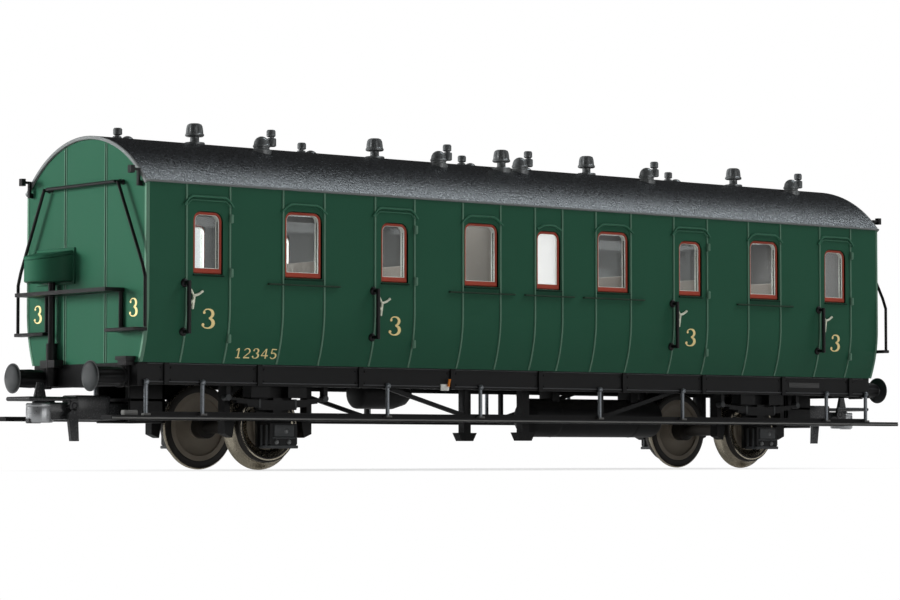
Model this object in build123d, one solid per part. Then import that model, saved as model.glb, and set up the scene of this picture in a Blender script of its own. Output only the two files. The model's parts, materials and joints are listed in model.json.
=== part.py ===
from build123d import *
import math
import os

os.makedirs("parts", exist_ok=True)

# Two-axle compartment coach, H0 scale model.
# X runs along the coach with the brake end at -X, Y across it, Z up, in millimetres.
# Heights are above the rail head; save() lifts the whole coach so that its flanges stand at zero.

# Body
body_length = 147.6
body_width = 30.6
body_bottom = 13.94
tumble_start = 22.0
tumble_inset = 1.6
side_wall = 1.0
end_wall = 1.2
fit = 0.04
cut_over = 1.0

# Roof
eave = 38.8
roof_apex = 46.15
roof_side_lap = 0.2
roof_thickness = 0.5
roof_overhang = 0.3

# Side openings: even bays from the inner window to the outer door, which stands off the end by a margin
inner_window_x = 13.43
outer_door_margin = 10.33
bays_between = 3
sill_height = 26.3
window_width = 6.6
window_top = 35.8
door_light_width = 5.0
door_light_top = 35.05
toilet_light_width = 4.8
toilet_light_top = 35.25
opening_corner = 0.8
frame_side = 0.45
frame_sill = 0.8
frame_depth = 0.75
frame_recess = 0.22
pane_recess = 0.35
glazing_thickness = 0.6
glazing_margin = 1.2

# Roof fittings
vent_flange_radius = 1.5
vent_flange_height = 0.3
vent_neck_radius = 0.68
vent_neck_height = 0.9
vent_hood_radius = 1.2
vent_hood_top_radius = 0.95
vent_hood_height = 1.75
toilet_vent_x = -1.5
toilet_vent_y = -6.0
lamp_y = 6.0
lamp_offset = 7.65
toilet_lamp_x = 2.3
lamp_radius = 1.25
lamp_height = 2.2
chimney_radius = 0.55
chimney_step = 1.8
chimney_height = 2.3
chimney_lift = 0.75

# Wheelsets
axle_overhang = 24.8
tread_radius = 5.28
flange_radius = 6.30
back_to_back = 14.3
wheel_width = 2.8
flange_width = 0.9
rim_thickness = 0.85
web_thickness = 0.9
hub_radius = 1.6
axle_radius = 1.0
journal_radius = 0.5
journal_clearance = 0.05
press_clearance = 0.01

# Underframe
solebar_height = 3.04
solebar_face = 13.2
solebar_web = 0.5
solebar_flange = 0.4
solebar_flange_reach = 1.6
headstock_thickness = 1.5
headstock_drop = 0.2
floor_thickness = 1.0
ballast_thickness = 0.8
ballast_margin = 13.8
ballast_width = 20.0
middle_ribs = (17.5, 34.9)
end_rib_insets = (20.7, 4.7)
rib_width = 0.8
rib_thickness = 0.3
inner_floor_thickness = 0.7
inner_floor_gap = 0.5

# Interior
bench_depth = 4.6
bench_height = 4.8
bench_back_height = 14.0
bench_back_thickness = 0.8
bench_side_gap = 1.3
partition_thickness = 0.8
partition_top = 38.0
toilet_half_length = 6.7

# Axle guards and springs
guard_inner = 10.4
guard_thickness = 0.5
guard_top_half = 4.6
guard_leg_half = 2.7
guard_waist = 7.0
horn_inner = 1.6
horn_outer = 4.9
horn_reach = 12.5
horn_bottom = 9.3
box_outer = 13.6
box_half = 2.4
box_top = 6.6
box_board_gap = 0.35
box_bottom = 2.2
box_chamfer = 0.5
journal_reach = 11.75
spring_half_length = 9.0
spring_outer = 12.15
spring_top = 8.9
spring_sag = 0.5
spring_leaf = 0.35
spring_width = 1.0
spring_leaf_count = 4
spring_leaf_step = 1.9
buckle_half = 0.8

# Brake gear
block_gap = 0.55
block_thickness = 1.9
block_width = 1.6
block_top = 6.4
block_bottom = 3.6
brake_hanger_width = 0.9

# Truss, posts and vessels under the floor
truss_y = 11.95
truss_thickness = 0.6
truss_bar = 0.6
truss_outer_x = 30.8
truss_inner_x = 13.8
truss_low = 6.95
post_x = 2.0
post_y = 7.0
post_size = 1.4
post_foot_top = 4.6
post_foot_bottom = 3.3
post_foot_half = 1.95
post_foot_low_half = 1.2
tank_axle_clearance = 11.8
tank_length = 29.0
tank_radius = 3.05
tank_height = 7.0
tank_y = 0.5
tank_dish = 1.2
saddle_inset = 6.0
saddle_size = 1.6
cylinder_start = -24.5
cylinder_length = 11.0
cylinder_radius = 2.4
cylinder_y = 2.0
cylinder_dish = 0.9

# Footboards
board_projection = 5.3
board_inner = 12.3
board_outer = 14.9
board_bottom = 5.95
board_thickness = 0.65
angle_height = 0.55
angle_thickness = 0.5
hanger_width = 0.7
hanger_thickness = 0.6
hanger_overlap = 0.7
middle_hangers = (12.15, 30.0)
end_hanger_insets = (10.7, 1.2)

# Buffers
buffer_y = 10.0
buffer_height = 12.0
buffer_projection = 6.2
buffer_head_radius = 2.15
buffer_head_rim = 0.35
buffer_head_dome = 0.5
plunger_radius = 0.8
plunger_length = 1.8
sleeve_radius = 1.15
buffer_plate = 3.0
buffer_plate_thickness = 0.4

# Couplers: places along X are off the end of the body
coupler_pivot_inset = 7.8
coupler_pin_radius = 0.8
coupler_pin_clearance = 0.05
shank_half = 1.8
shank_bottom = 6.0
shank_top = 8.5
shank_gap = 0.15
coupler_head_projection = 7.7
coupler_head_radius = 1.9
coupler_head_bottom = 5.85
prong_projection = 10.2
prong_half = 1.4
prong_thickness = 0.5
fin_height = 2.9
fin_length = 1.5
fin_width = 0.8
loop_pivot_projection = 3.7
loop_pivot_z = 8.0
loop_front_projection = 11.0
loop_half = 3.2
loop_bar = 0.6
loop_rise = 0.12
loop_eye_radius = 0.8
loop_pin_radius = 0.4
loop_pin_clearance = 0.05
tail_bottom = 3.05
tail_length = 1.3
pocket_half = 4.3
pocket_wall = 0.6
pocket_reach = 3.0
pocket_plate = 0.5

# End fittings
end_rail_radius = 0.24
end_rail_standoff = 0.9
top_rail_half = 8.7
top_rail_z = 39.1
side_rail_top_y = 9.5
side_rail_top_z = 39.0
side_rail_knee_y = 15.6
side_rail_knee_z = 27.4
side_rail_y = 16.3
side_rail_bend_z = 25.6
step_top = 18.65
step_thickness = 0.5
step_depth = 2.4
step_inner = 8.6
step_outer = 16.7
shelf_top = 24.3
shelf_thickness = 0.55
shelf_depth = 3.2
shelf_near = -9.9
shelf_far = 13.5
step_rod_y = 9.5
step_rod_radius = 0.3
box_y = 7.5
brake_box_radius = 4.6
box_plate_thickness = 0.25
box_plate_margin = 0.35
brake_box_bottom = 25.7
brake_box_top = 30.2
brake_box_fall = 0.9
shaft_radius = 0.5
shaft_sleeve_radius = 0.75
shaft_sleeve_top = 17.0
shaft_standoff = 0.78
lamp_bracket_y = 14.0
lamp_bracket_width = 0.5
lamp_bracket_foot = 38.2
lamp_bracket_foot_height = 0.7
lamp_bracket_thickness = 0.35
lamp_bracket_gap = 0.05
lamp_bracket_top = 40.6
lamp_arm_length = 0.7
lamp_socket_width = 0.8
lamp_socket_depth = 0.65
lamp_socket_height = 1.05
tread_block_y = -11.4
tread_block_width = 2.1
tread_block_depth = 1.4
tread_block_bottom = 13.55
tread_block_height = 0.65
tread_cap_height = 0.55
tread_cap_over = 0.25
bearing_half = 1.9
bearing_depth = 1.5
bearing_height = 1.05

# Door furniture
grab_offset = 4.0
grab_radius = 0.25
grab_standoff = 1.15
grab_top = 25.25
grab_bottom = 17.9
grab_foot_inset = 0.3
grab_foot_radius = 0.2
lever_thickness = 0.35
lever_width = 0.35
lever_fork_x = 2.79
lever_fork_z = 22.4
# Ends of the lever's arms from its fork: across, up
lever_stem = (0.0, 1.6)
lever_branch = (1.64, 1.5)
lever_foot = (0.0, -1.04)

# Derived places
half_length = body_length / 2
half_width = body_width / 2
roof_half_chord = half_width + roof_side_lap
roof_rise = roof_apex - eave
roof_radius = (roof_half_chord**2 + roof_rise**2) / (2 * roof_rise)
roof_centre = roof_apex - roof_radius
roof_inner_radius = roof_radius - roof_thickness
tumble_height = tumble_start - body_bottom
tumble_radius = (tumble_height**2 + tumble_inset**2) / (2 * tumble_inset)
flange_depth = flange_radius - tread_radius
axle_x = half_length - axle_overhang
tank_start = axle_x - tank_axle_clearance - tank_length
bay_pitch = (half_length - outer_door_margin - inner_window_x) / bays_between
board_half_length = half_length + board_projection
hanger_positions = middle_hangers + tuple(half_length - inset for inset in end_hanger_insets)
rib_positions = middle_ribs + tuple(half_length - inset for inset in end_rib_insets)
buffer_reach = half_length + buffer_projection
coupler_pivot_x = half_length - coupler_pivot_inset
coupler_head_x = half_length + coupler_head_projection
prong_reach = half_length + prong_projection
loop_pivot_x = half_length + loop_pivot_projection
loop_front_x = half_length + loop_front_projection
floor_under = body_bottom - floor_thickness
solebar_bottom = body_bottom - solebar_height
flange_inner = solebar_face - solebar_flange_reach
frame_half = half_length - headstock_thickness
board_top = board_bottom + board_thickness
cover_top = board_bottom - box_board_gap
seat_floor = body_bottom + ballast_thickness + inner_floor_thickness
wheel_back = back_to_back / 2
wheel_face = wheel_back + wheel_width
ends = (-1, 1)
sides = (-1, 1)

# Bays of one side: centre, width of the light, its top
door_x = (inner_window_x + bay_pitch, inner_window_x + bays_between * bay_pitch)
window_x = (inner_window_x, inner_window_x + (bays_between - 1) * bay_pitch)
bays = [(0.0, toilet_light_width, toilet_light_top)]
for end in ends:
    bays += [(end * x, door_light_width, door_light_top) for x in door_x]
    bays += [(end * x, window_width, window_top) for x in window_x]
# A compartment is one door bay and the window bay beside it
compartment_x = [end * (door + window) / 2 for end in ends for door, window in zip(door_x, window_x)]


def save(name, pieces):
    """Write one node, standing on its wheel flanges."""
    shape = Compound(pieces) if isinstance(pieces, list) else pieces
    export_step(Pos(0, 0, flange_depth) * shape, f"parts/{name}.step")


def block(x, y, z):
    """Box between the two ends given for each axis."""
    spans = [sorted(span) for span in (x, y, z)]
    centre = [(low + high) / 2 for low, high in spans]
    size = [high - low for low, high in spans]
    return Pos(*centre) * Box(*size)


def drum_x(x, y, z, radius):
    """Round bar along X between the two ends of x."""
    low, high = sorted(x)
    return Pos((low + high) / 2, y, z) * Rot(0, 90, 0) * Cylinder(radius, high - low)


def drum_y(x, y, z, radius):
    """Round bar along Y between the two ends of y."""
    low, high = sorted(y)
    return Pos(x, (low + high) / 2, z) * Rot(90, 0, 0) * Cylinder(radius, high - low)


def drum_z(x, y, z, radius):
    """Round bar along Z between the two ends of z."""
    low, high = sorted(z)
    return Pos(x, y, (low + high) / 2) * Cylinder(radius, high - low)


def wire(points, radius):
    """Bent round wire: straight runs with a ball at each bend."""
    runs = []
    for start, stop in zip(points, points[1:]):
        run = Vector(*stop) - Vector(*start)
        place = Plane(origin=(Vector(*start) + Vector(*stop)) / 2, z_dir=run)
        runs.append(place * Cylinder(radius, run.length))
    balls = [Pos(*point) * Sphere(radius) for point in points[1:-1]]
    return runs[0].fuse(*runs[1:], *balls) if runs[1:] else runs[0]


def plate_y(outline, y):
    """Flat piece with an outline in X and Z, between the two ends of y."""
    low, high = sorted(y)
    face = Plane.XZ * make_face(Polyline(*outline, close=True))
    return Pos(0, high, 0) * extrude(face, amount=high - low)


def turned(profile, place):
    """Solid turned about the upright line through place, from radius and height points."""
    face = Plane.XZ * make_face(Polyline(*profile, close=True))
    return Pos(*place) * revolve(face, Axis.Z)


def half_turn(shape):
    """The same piece at the other end and side of the coach."""
    return Rot(0, 0, 180) * shape


def wall_y(z, depth=0.0):
    """Half width of the body at a height, depth inside its outer face."""
    if z >= tumble_start:
        return half_width - depth
    radius = tumble_radius - depth
    return half_width - tumble_radius + math.sqrt(radius**2 - (tumble_start - z) ** 2)


def side_profile(depth, bottom, top):
    """Right half edges of the body section: tumblehome arc and upright, depth inside the face."""
    middle = (bottom + tumble_start) / 2
    arc = ThreePointArc(
        (wall_y(bottom, depth), bottom),
        (wall_y(middle, depth), middle),
        (half_width - depth, tumble_start),
    )
    upright = Line((half_width - depth, tumble_start), (half_width - depth, top))
    return [arc, upright]


def mirrored(edges):
    return [mirror(edge, about=Plane.YZ) for edge in edges]


def section_solid(edges, length):
    """Body of constant section along X, centred on the middle of the coach."""
    face = Plane.YZ * make_face(edges)
    return Pos(-length / 2, 0, 0) * extrude(face, amount=length)


def opening(width, top, shrink_side, shrink_low):
    """Face of a side light: square below, rounded above, drawn in X and Z about its own centre line."""
    low = sill_height + shrink_low
    high = top - shrink_side
    half = width / 2 - shrink_side
    corner = max(opening_corner - shrink_side, opening_corner / 4)
    spread = corner * (1 - math.sqrt(0.5))
    return make_face([
        Line((-half, low), (half, low)),
        Line((half, low), (half, high - corner)),
        ThreePointArc((half, high - corner), (half - spread, high - spread), (half - corner, high)),
        Line((half - corner, high), (-half + corner, high)),
        ThreePointArc((-half + corner, high), (-half + spread, high - spread), (-half, high - corner)),
        Line((-half, high - corner), (-half, low)),
    ])


def light_solid(bay, shrink_side, shrink_low, y):
    """Side light of one bay as a solid between the two ends of y."""
    centre, width, top = bay
    low, high = sorted(y)
    face = Plane.XZ * opening(width, top, shrink_side, shrink_low)
    return Pos(centre, high, 0) * extrude(face, amount=high - low)


# Body: two sides with their windows cut, between two gabled ends
outer_right = side_profile(0, body_bottom, eave)
inner_right = side_profile(side_wall, body_bottom, eave)
side_rim = Line((half_width, eave), (half_width - side_wall, eave))
side_foot = Line((wall_y(body_bottom), body_bottom), (wall_y(body_bottom, side_wall), body_bottom))
body_side = section_solid(outer_right + inner_right + [side_rim, side_foot], body_length - 2 * end_wall)
for bay in bays:
    body_side -= light_solid(bay, 0, 0, (0, half_width + cut_over))
save("body_side_left", body_side)
save("body_side_right", half_turn(body_side))
gable_radius = roof_inner_radius - fit
gable_y = math.sqrt(gable_radius**2 - (eave - roof_centre) ** 2)
end_right = outer_right + [Line((half_width, eave), (gable_y, eave))]
crown = ThreePointArc((gable_y, eave), (0, roof_centre + gable_radius), (-gable_y, eave))
sole = Line((-wall_y(body_bottom), body_bottom), (wall_y(body_bottom), body_bottom))
body_end = section_solid([sole, crown] + end_right + mirrored(end_right), end_wall)
for letter, end in zip("ab", ends):
    save(f"body_end_{letter}", Pos(end * (half_length - end_wall / 2), 0, 0) * body_end)

# Roof: one barrel shell resting on the side walls
roof_length = body_length + 2 * roof_overhang
roof_inner_y = math.sqrt(roof_inner_radius**2 - (eave - roof_centre) ** 2)
roof = section_solid([
    ThreePointArc((-roof_half_chord, eave), (0, roof_apex), (roof_half_chord, eave)),
    Line((roof_half_chord, eave), (roof_inner_y, eave)),
    ThreePointArc((roof_inner_y, eave), (0, roof_apex - roof_thickness), (-roof_inner_y, eave)),
    Line((-roof_inner_y, eave), (-roof_half_chord, eave)),
], roof_length)
save("roof", roof)

# Everything on the roof is trimmed to its outer face
roof_drum = drum_x((-roof_length, roof_length), 0, roof_centre, roof_radius)


def roof_z(y):
    return roof_centre + math.sqrt(roof_radius**2 - y**2)


def ridge_vent(x, y):
    """Mushroom ventilator: foot flange, neck and flared hood."""
    base = roof_z(y)
    root = roof_z(abs(y) + vent_flange_radius) - base
    neck_top = vent_flange_height + vent_neck_height
    hood_top = neck_top + vent_hood_height
    vent = turned([
        (0, root),
        (vent_flange_radius, root),
        (vent_flange_radius, vent_flange_height),
        (vent_neck_radius, vent_flange_height),
        (vent_neck_radius, neck_top),
        (vent_hood_radius, neck_top),
        (vent_hood_top_radius, hood_top),
        (0, hood_top),
    ], (x, y, base))
    return vent - roof_drum


vents = [ridge_vent(x, 0) for x in compartment_x] + [ridge_vent(toilet_vent_x, toilet_vent_y)]
save("ridge_vents", vents)


def lamp_top(x, y):
    """Lamp housing: domed drum with a chimney carried on its side."""
    base = roof_z(y)
    root = roof_z(abs(y) + lamp_radius) - base
    shoulder = lamp_height - lamp_radius
    dome = drum_z(x, y, (base + root, base + shoulder), lamp_radius)
    dome += Pos(x, y, base + shoulder) * Sphere(lamp_radius)
    toward = math.copysign(1, -y)
    chimney_x = x + toward * chimney_step
    chimney_low = base + chimney_lift
    chimney = drum_z(chimney_x, y, (chimney_low, chimney_low + chimney_height), chimney_radius)
    arm_z = base + shoulder
    arm = drum_x((x, chimney_x), y, arm_z, chimney_radius / 2)
    return (dome + arm + chimney) - roof_drum


lamps = [lamp_top(x + lamp_offset, -lamp_y) for x in compartment_x]
lamps += [lamp_top(x - lamp_offset, lamp_y) for x in compartment_x]
lamps += [lamp_top(toilet_lamp_x, -lamp_y), lamp_top(toilet_lamp_x, lamp_y)]
save("lamp_tops", lamps)

# Window frames, glazing and the frosted toilet panes
frame_face = half_width - frame_recess
frame_back = frame_face - frame_depth
pane_face = frame_face - pane_recess
glass_face = half_width - side_wall - fit
glass_back = glass_face - glazing_thickness
frames = []
panes = []
toilet_panes = []
for side in sides:
    for bay in bays:
        frame_span = (side * frame_back, side * frame_face)
        frame = light_solid(bay, fit, fit, frame_span)
        frame -= light_solid(bay, frame_side, frame_sill, frame_span)
        frames.append(frame)
        pane = light_solid(bay, frame_side + fit, frame_sill + fit, (side * glass_face, side * pane_face))
        if bay[0] == 0:
            half = bay[1] / 2 + glazing_margin
            plate_z = (sill_height - glazing_margin, bay[2] + glazing_margin)
            plate = block((-half, half), (side * glass_back, side * glass_face), plate_z)
            toilet_panes.append(plate + pane)
        else:
            panes.append((side, bay[0], pane))
save("window_frames", frames)
save("toilet_panes", toilet_panes)
glazing = []
strip_inner = toilet_light_width / 2 + 2 * glazing_margin
strip_outer = door_x[1] + door_light_width / 2 + glazing_margin
strip_z = (sill_height - glazing_margin, window_top + glazing_margin)
for side in sides:
    for end in ends:
        strip = block((end * strip_inner, end * strip_outer), (side * glass_back, side * glass_face), strip_z)
        for pane_side, pane_x, pane in panes:
            if pane_side == side and pane_x * end > 0:
                strip += pane
        glazing.append(strip)
save("glazing", glazing)

# Floor, ballast and interior
floor_half = flange_inner - fit
save("chassis_floor", block((-frame_half, frame_half), (-floor_half, floor_half), (floor_under, body_bottom)))
ballast_top = body_bottom + ballast_thickness
ballast_half = half_length - ballast_margin
ballast_x = (-ballast_half, ballast_half)
save("ballast_plate", block(ballast_x, (-ballast_width / 2, ballast_width / 2), (body_bottom, ballast_top)))
inner_half = half_length - end_wall - inner_floor_gap
inner_floor_half = wall_y(ballast_top, side_wall) - inner_floor_gap
inner_floor_y = (-inner_floor_half, inner_floor_half)
save("interior_floor", block((-inner_half, inner_half), inner_floor_y, (ballast_top, seat_floor)))
bench_half = half_width - side_wall - glazing_thickness - bench_side_gap
bench_y = (-bench_half, bench_half)
seat_top = seat_floor + bench_height
back_top = seat_floor + bench_back_height
compartment_end = window_x[1] - bay_pitch / 2
partitions = []
for x in (toilet_half_length, compartment_end):
    for end in ends:
        thick = (end * x - partition_thickness / 2, end * x + partition_thickness / 2)
        partitions.append(block(thick, bench_y, (seat_floor, partition_top)))
save("partitions", partitions)


def bench(back_x, facing):
    """One seat whose back edge is at back_x, facing along facing."""
    return block((back_x, back_x + facing * bench_depth), bench_y, (seat_floor, seat_top))


seats = []
backs = []
half_back = bench_back_thickness / 2
wall_gap = partition_thickness / 2
for x in compartment_x:
    backs.append(block((x - half_back, x + half_back), bench_y, (seat_floor, back_top)))
    seats += [bench(x - half_back, -1), bench(x + half_back, 1)]
for end in ends:
    seats.append(bench(end * (compartment_end + wall_gap), end))
    seats.append(bench(end * (compartment_end - wall_gap), -end))
    seats.append(bench(end * (toilet_half_length + wall_gap), end))
    seats.append(bench(end * inner_half, -end))
save("bench_seats", seats)
save("bench_backs", backs)

# Underframe: channel solebars with upright ribs, between the headstocks
solebars = []
headstocks = []
for side in sides:
    web = (side * (solebar_face - solebar_web), side * solebar_face)
    reach = (side * flange_inner, side * solebar_face)
    run = (-frame_half, frame_half)
    bar = block(run, web, (solebar_bottom, body_bottom))
    bar += block(run, reach, (solebar_bottom, solebar_bottom + solebar_flange))
    bar += block(run, reach, (body_bottom - solebar_flange, body_bottom))
    rib_y = (side * solebar_face, side * (solebar_face + rib_thickness))
    for x in [0.0] + [end * place for end in ends for place in rib_positions]:
        bar += block((x - rib_width / 2, x + rib_width / 2), rib_y, (solebar_bottom, body_bottom))
    solebars.append(bar)
for end in ends:
    headstock_z = (solebar_bottom - headstock_drop, body_bottom)
    headstocks.append(block((end * frame_half, end * half_length), (-solebar_face, solebar_face), headstock_z))
save("solebars", solebars)
save("headstocks", headstocks)


def leaf_spring(x, side):
    """Stack of leaves that hang below their eyes, with a buckle in the middle and two shackles."""
    radius = (spring_half_length**2 + spring_sag**2) / (2 * spring_sag)
    eye_z = spring_top + spring_sag
    centre = spring_top + radius
    spring_y = (side * (spring_outer - spring_width), side * spring_outer)
    stack = None
    for leaf in range(spring_leaf_count):
        outer = radius + (leaf + 1) * spring_leaf
        inner = radius + leaf * spring_leaf
        reach = (spring_half_length - leaf * spring_leaf_step) / radius
        points = [(math.sin(a), math.cos(a)) for a in (-reach, 0, reach)]
        low = [(outer * s, centre - outer * c) for s, c in points]
        high = [(inner * s, centre - inner * c) for s, c in points]
        face = make_face([
            ThreePointArc(*low),
            Line(low[2], high[2]),
            ThreePointArc(*reversed(high)),
            Line(high[0], low[0]),
        ])
        width = abs(spring_y[1] - spring_y[0])
        plate = Pos(x, max(spring_y), 0) * extrude(Plane.XZ * face, amount=width)
        stack = plate if stack is None else stack + plate
    buckle_z = (box_top, spring_top + spring_leaf)
    stack += block((x - buckle_half, x + buckle_half), spring_y, buckle_z)
    for end in ends:
        eye = x + end * (spring_half_length - spring_leaf)
        shackle_z = (eye_z - spring_leaf, solebar_bottom)
        stack += block((eye - spring_leaf, eye + spring_leaf), spring_y, shackle_z)
    return stack


springs = [leaf_spring(end * axle_x, side) for end in ends for side in sides]
save("leaf_springs", springs)


def axle_guard(x, side):
    """W-shaped guard plate from the floor with two horn blocks and the axlebox on its outer face."""
    plate_span = (side * guard_inner, side * (guard_inner + guard_thickness))
    guard = plate_y([
        (x - guard_top_half, floor_under),
        (x - guard_leg_half, guard_waist),
        (x - guard_leg_half, box_bottom),
        (x + guard_leg_half, box_bottom),
        (x + guard_leg_half, guard_waist),
        (x + guard_top_half, floor_under),
    ], plate_span)
    guard_face = guard_inner + guard_thickness
    for top, inner, outer in ((box_top, guard_face, spring_outer), (cover_top, spring_outer, box_outer)):
        guard += plate_y([
            (x - box_half, top),
            (x - box_half, box_bottom + box_chamfer),
            (x - box_half + box_chamfer, box_bottom),
            (x + box_half - box_chamfer, box_bottom),
            (x + box_half, box_bottom + box_chamfer),
            (x + box_half, top),
        ], (side * inner, side * outer))
    for end in ends:
        horn_x = (x + end * horn_inner, x + end * horn_outer)
        guard += block(horn_x, (side * guard_inner, side * horn_reach), (horn_bottom, solebar_bottom))
    bore_y = (side * guard_inner, side * (journal_reach + journal_clearance))
    return guard - drum_y(x, bore_y, tread_radius, journal_radius + journal_clearance)


def brake_block(x, side, end):
    """Shoe before the tread with its hanger up to the floor."""
    near = tread_radius + block_gap
    far = near + block_thickness
    block_y = (side * (wheel_face - block_width), side * wheel_face)
    shoe = plate_y([
        (x + end * near, block_top),
        (x + end * (near + block_gap), block_bottom),
        (x + end * far, block_bottom + block_gap),
        (x + end * far, block_top),
    ], block_y)
    arm = (x + end * (far - brake_hanger_width), x + end * far)
    return shoe + block(arm, block_y, (block_top, floor_under))


def wheelset(end, letter):
    """Axle with its two tyred discs, and what guards and brakes it."""
    x = end * axle_x
    axle = drum_y(x, (-wheel_face, wheel_face), tread_radius, axle_radius)
    axle += drum_y(x, (-journal_reach, journal_reach), tread_radius, journal_radius)
    save(f"axle_{letter}", axle)
    tyres = []
    discs = []
    tyre_bore = tread_radius - rim_thickness
    for side in sides:
        flange_end = wheel_back + flange_width
        tyre = drum_y(x, (side * wheel_back, side * wheel_face), tread_radius, tread_radius)
        tyre += drum_y(x, (side * wheel_back, side * flange_end), tread_radius, flange_radius)
        tyre -= drum_y(x, (side * wheel_back, side * wheel_face), tread_radius, tyre_bore)
        tyres.append(tyre)
        middle = (wheel_back + wheel_face) / 2
        web_span = (side * (middle - web_thickness / 2), side * (middle + web_thickness / 2))
        disc = drum_y(x, web_span, tread_radius, tyre_bore - press_clearance)
        disc += drum_y(x, (side * wheel_back, side * wheel_face), tread_radius, hub_radius)
        bore = drum_y(x, (side * wheel_back, side * wheel_face), tread_radius, axle_radius + press_clearance)
        discs.append(disc - bore)
    save(f"tyres_{letter}", tyres)
    save(f"discs_{letter}", discs)
    save(f"axle_guards_{letter}", [axle_guard(x, side) for side in sides])
    save(f"brake_gear_{letter}", [brake_block(x, side, way) for side in sides for way in ends])


wheelset(-1, "a")
wheelset(1, "b")


def bar_xz(start, stop, thickness, y):
    """Flat bar between two points in X and Z, of even thickness."""
    run = Vector(stop[0] - start[0], stop[1] - start[1])
    across = Vector(-run.Y, run.X).normalized() * (thickness / 2)
    corners = []
    for point, sign in ((start, 1), (stop, 1), (stop, -1), (start, -1)):
        corners.append((point[0] + sign * across.X, point[1] + sign * across.Y))
    return plate_y(corners, y)


# Truss under each solebar: two slopes and the lower chord, with a post at each corner
trusses = []
truss_drop = solebar_bottom + truss_bar
for side in sides:
    span = (side * (truss_y - truss_thickness / 2), side * (truss_y + truss_thickness / 2))
    truss = bar_xz((-truss_inner_x, truss_low), (truss_inner_x, truss_low), truss_bar, span)
    for end in ends:
        truss += bar_xz((end * truss_outer_x, truss_drop), (end * truss_inner_x, truss_low), truss_bar, span)
        post = (end * truss_inner_x - truss_bar / 2, end * truss_inner_x + truss_bar / 2)
        truss += block(post, span, (truss_low - truss_bar / 2, solebar_bottom))
    above = block((-frame_half, frame_half), (side * flange_inner, side * solebar_face), (solebar_bottom, eave))
    trusses.append(truss - above)
save("truss_rods", trusses)

# Centre posts with spread feet
posts = []
for side in sides:
    post_span = (side * (post_y - post_size / 2), side * (post_y + post_size / 2))
    post = block((post_x - post_size / 2, post_x + post_size / 2), post_span, (post_foot_top, floor_under))
    post += plate_y([
        (post_x - post_foot_half, post_foot_top),
        (post_x - post_foot_low_half, post_foot_bottom),
        (post_x + post_foot_low_half, post_foot_bottom),
        (post_x + post_foot_half, post_foot_top),
    ], post_span)
    posts.append(post)
save("centre_posts", posts)


def vessel(start, length, y, z, radius, dish):
    """Closed cylinder along X with coned ends that round it off."""
    face = Plane.XY * make_face(Polyline(
        (start, 0),
        (start, radius - dish),
        (start + dish / 2, radius - dish / 3),
        (start + dish, radius),
        (start + length - dish, radius),
        (start + length - dish / 2, radius - dish / 3),
        (start + length, radius - dish),
        (start + length, 0),
        close=True,
    ))
    return Pos(0, y, z) * revolve(face, Axis.X)


# Gas tank on two saddles, and the brake cylinder under the floor
tank = vessel(tank_start, tank_length, tank_y, tank_height, tank_radius, tank_dish)
for x in (tank_start + saddle_inset, tank_start + tank_length - saddle_inset):
    saddle_x = (x - saddle_size / 2, x + saddle_size / 2)
    tank += block(saddle_x, (tank_y - saddle_size, tank_y + saddle_size), (tank_height, floor_under))
save("gas_tank", tank)
cylinder_z = floor_under - cylinder_radius - fit
brake_cylinder = vessel(cylinder_start, cylinder_length, cylinder_y, cylinder_z, cylinder_radius, cylinder_dish)
save("brake_cylinder", brake_cylinder)

# Footboards on their angle irons, hung from the solebars
footboards = []
hangers = []
angle_reach = max(hanger_positions) + hanger_width / 2
hanger_back = solebar_face
for side in sides:
    board_y = (side * board_inner, side * board_outer)
    board = block((-board_half_length, board_half_length), board_y, (board_bottom, board_top))
    angle_y = (side * (hanger_back - angle_thickness), side * hanger_back)
    board += block((-angle_reach, angle_reach), angle_y, (board_top, board_top + angle_height))
    footboards.append(board)
    for x in [end * place for end in ends for place in hanger_positions]:
        hanger_x = (x - hanger_width / 2, x + hanger_width / 2)
        hanger_y = (side * hanger_back, side * (hanger_back + hanger_thickness))
        hangers.append(block(hanger_x, hanger_y, (board_top, solebar_bottom + hanger_overlap)))
save("footboards", footboards)
save("footboard_hangers", hangers)

# Buffers at the brake end; the other end is the same turned round
sleeves = []
heads = []
head_back = buffer_reach - buffer_head_dome - buffer_head_rim
sleeve_end = head_back - plunger_length
dome_radius = (buffer_head_radius**2 + buffer_head_dome**2) / (2 * buffer_head_dome)
for side in sides:
    y = side * buffer_y
    plate_z = (buffer_height - buffer_plate / 2, buffer_height + buffer_plate / 2)
    plate_edge = (y - buffer_plate / 2, y + buffer_plate / 2)
    sleeve = block((-half_length, -half_length - buffer_plate_thickness), plate_edge, plate_z)
    sleeve += drum_x((-half_length, -sleeve_end), y, buffer_height, sleeve_radius)
    sleeves.append(sleeve)
    dome = Pos(-buffer_reach + dome_radius, y, buffer_height) * Sphere(dome_radius)
    head = drum_x((-head_back, -buffer_reach), y, buffer_height, buffer_head_radius) & dome
    heads.append(head + drum_x((-sleeve_end, -head_back), y, buffer_height, plunger_radius))
save("buffer_sleeves", sleeves + [half_turn(sleeve) for sleeve in sleeves])
save("buffer_heads", heads + [half_turn(head) for head in heads])

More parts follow.
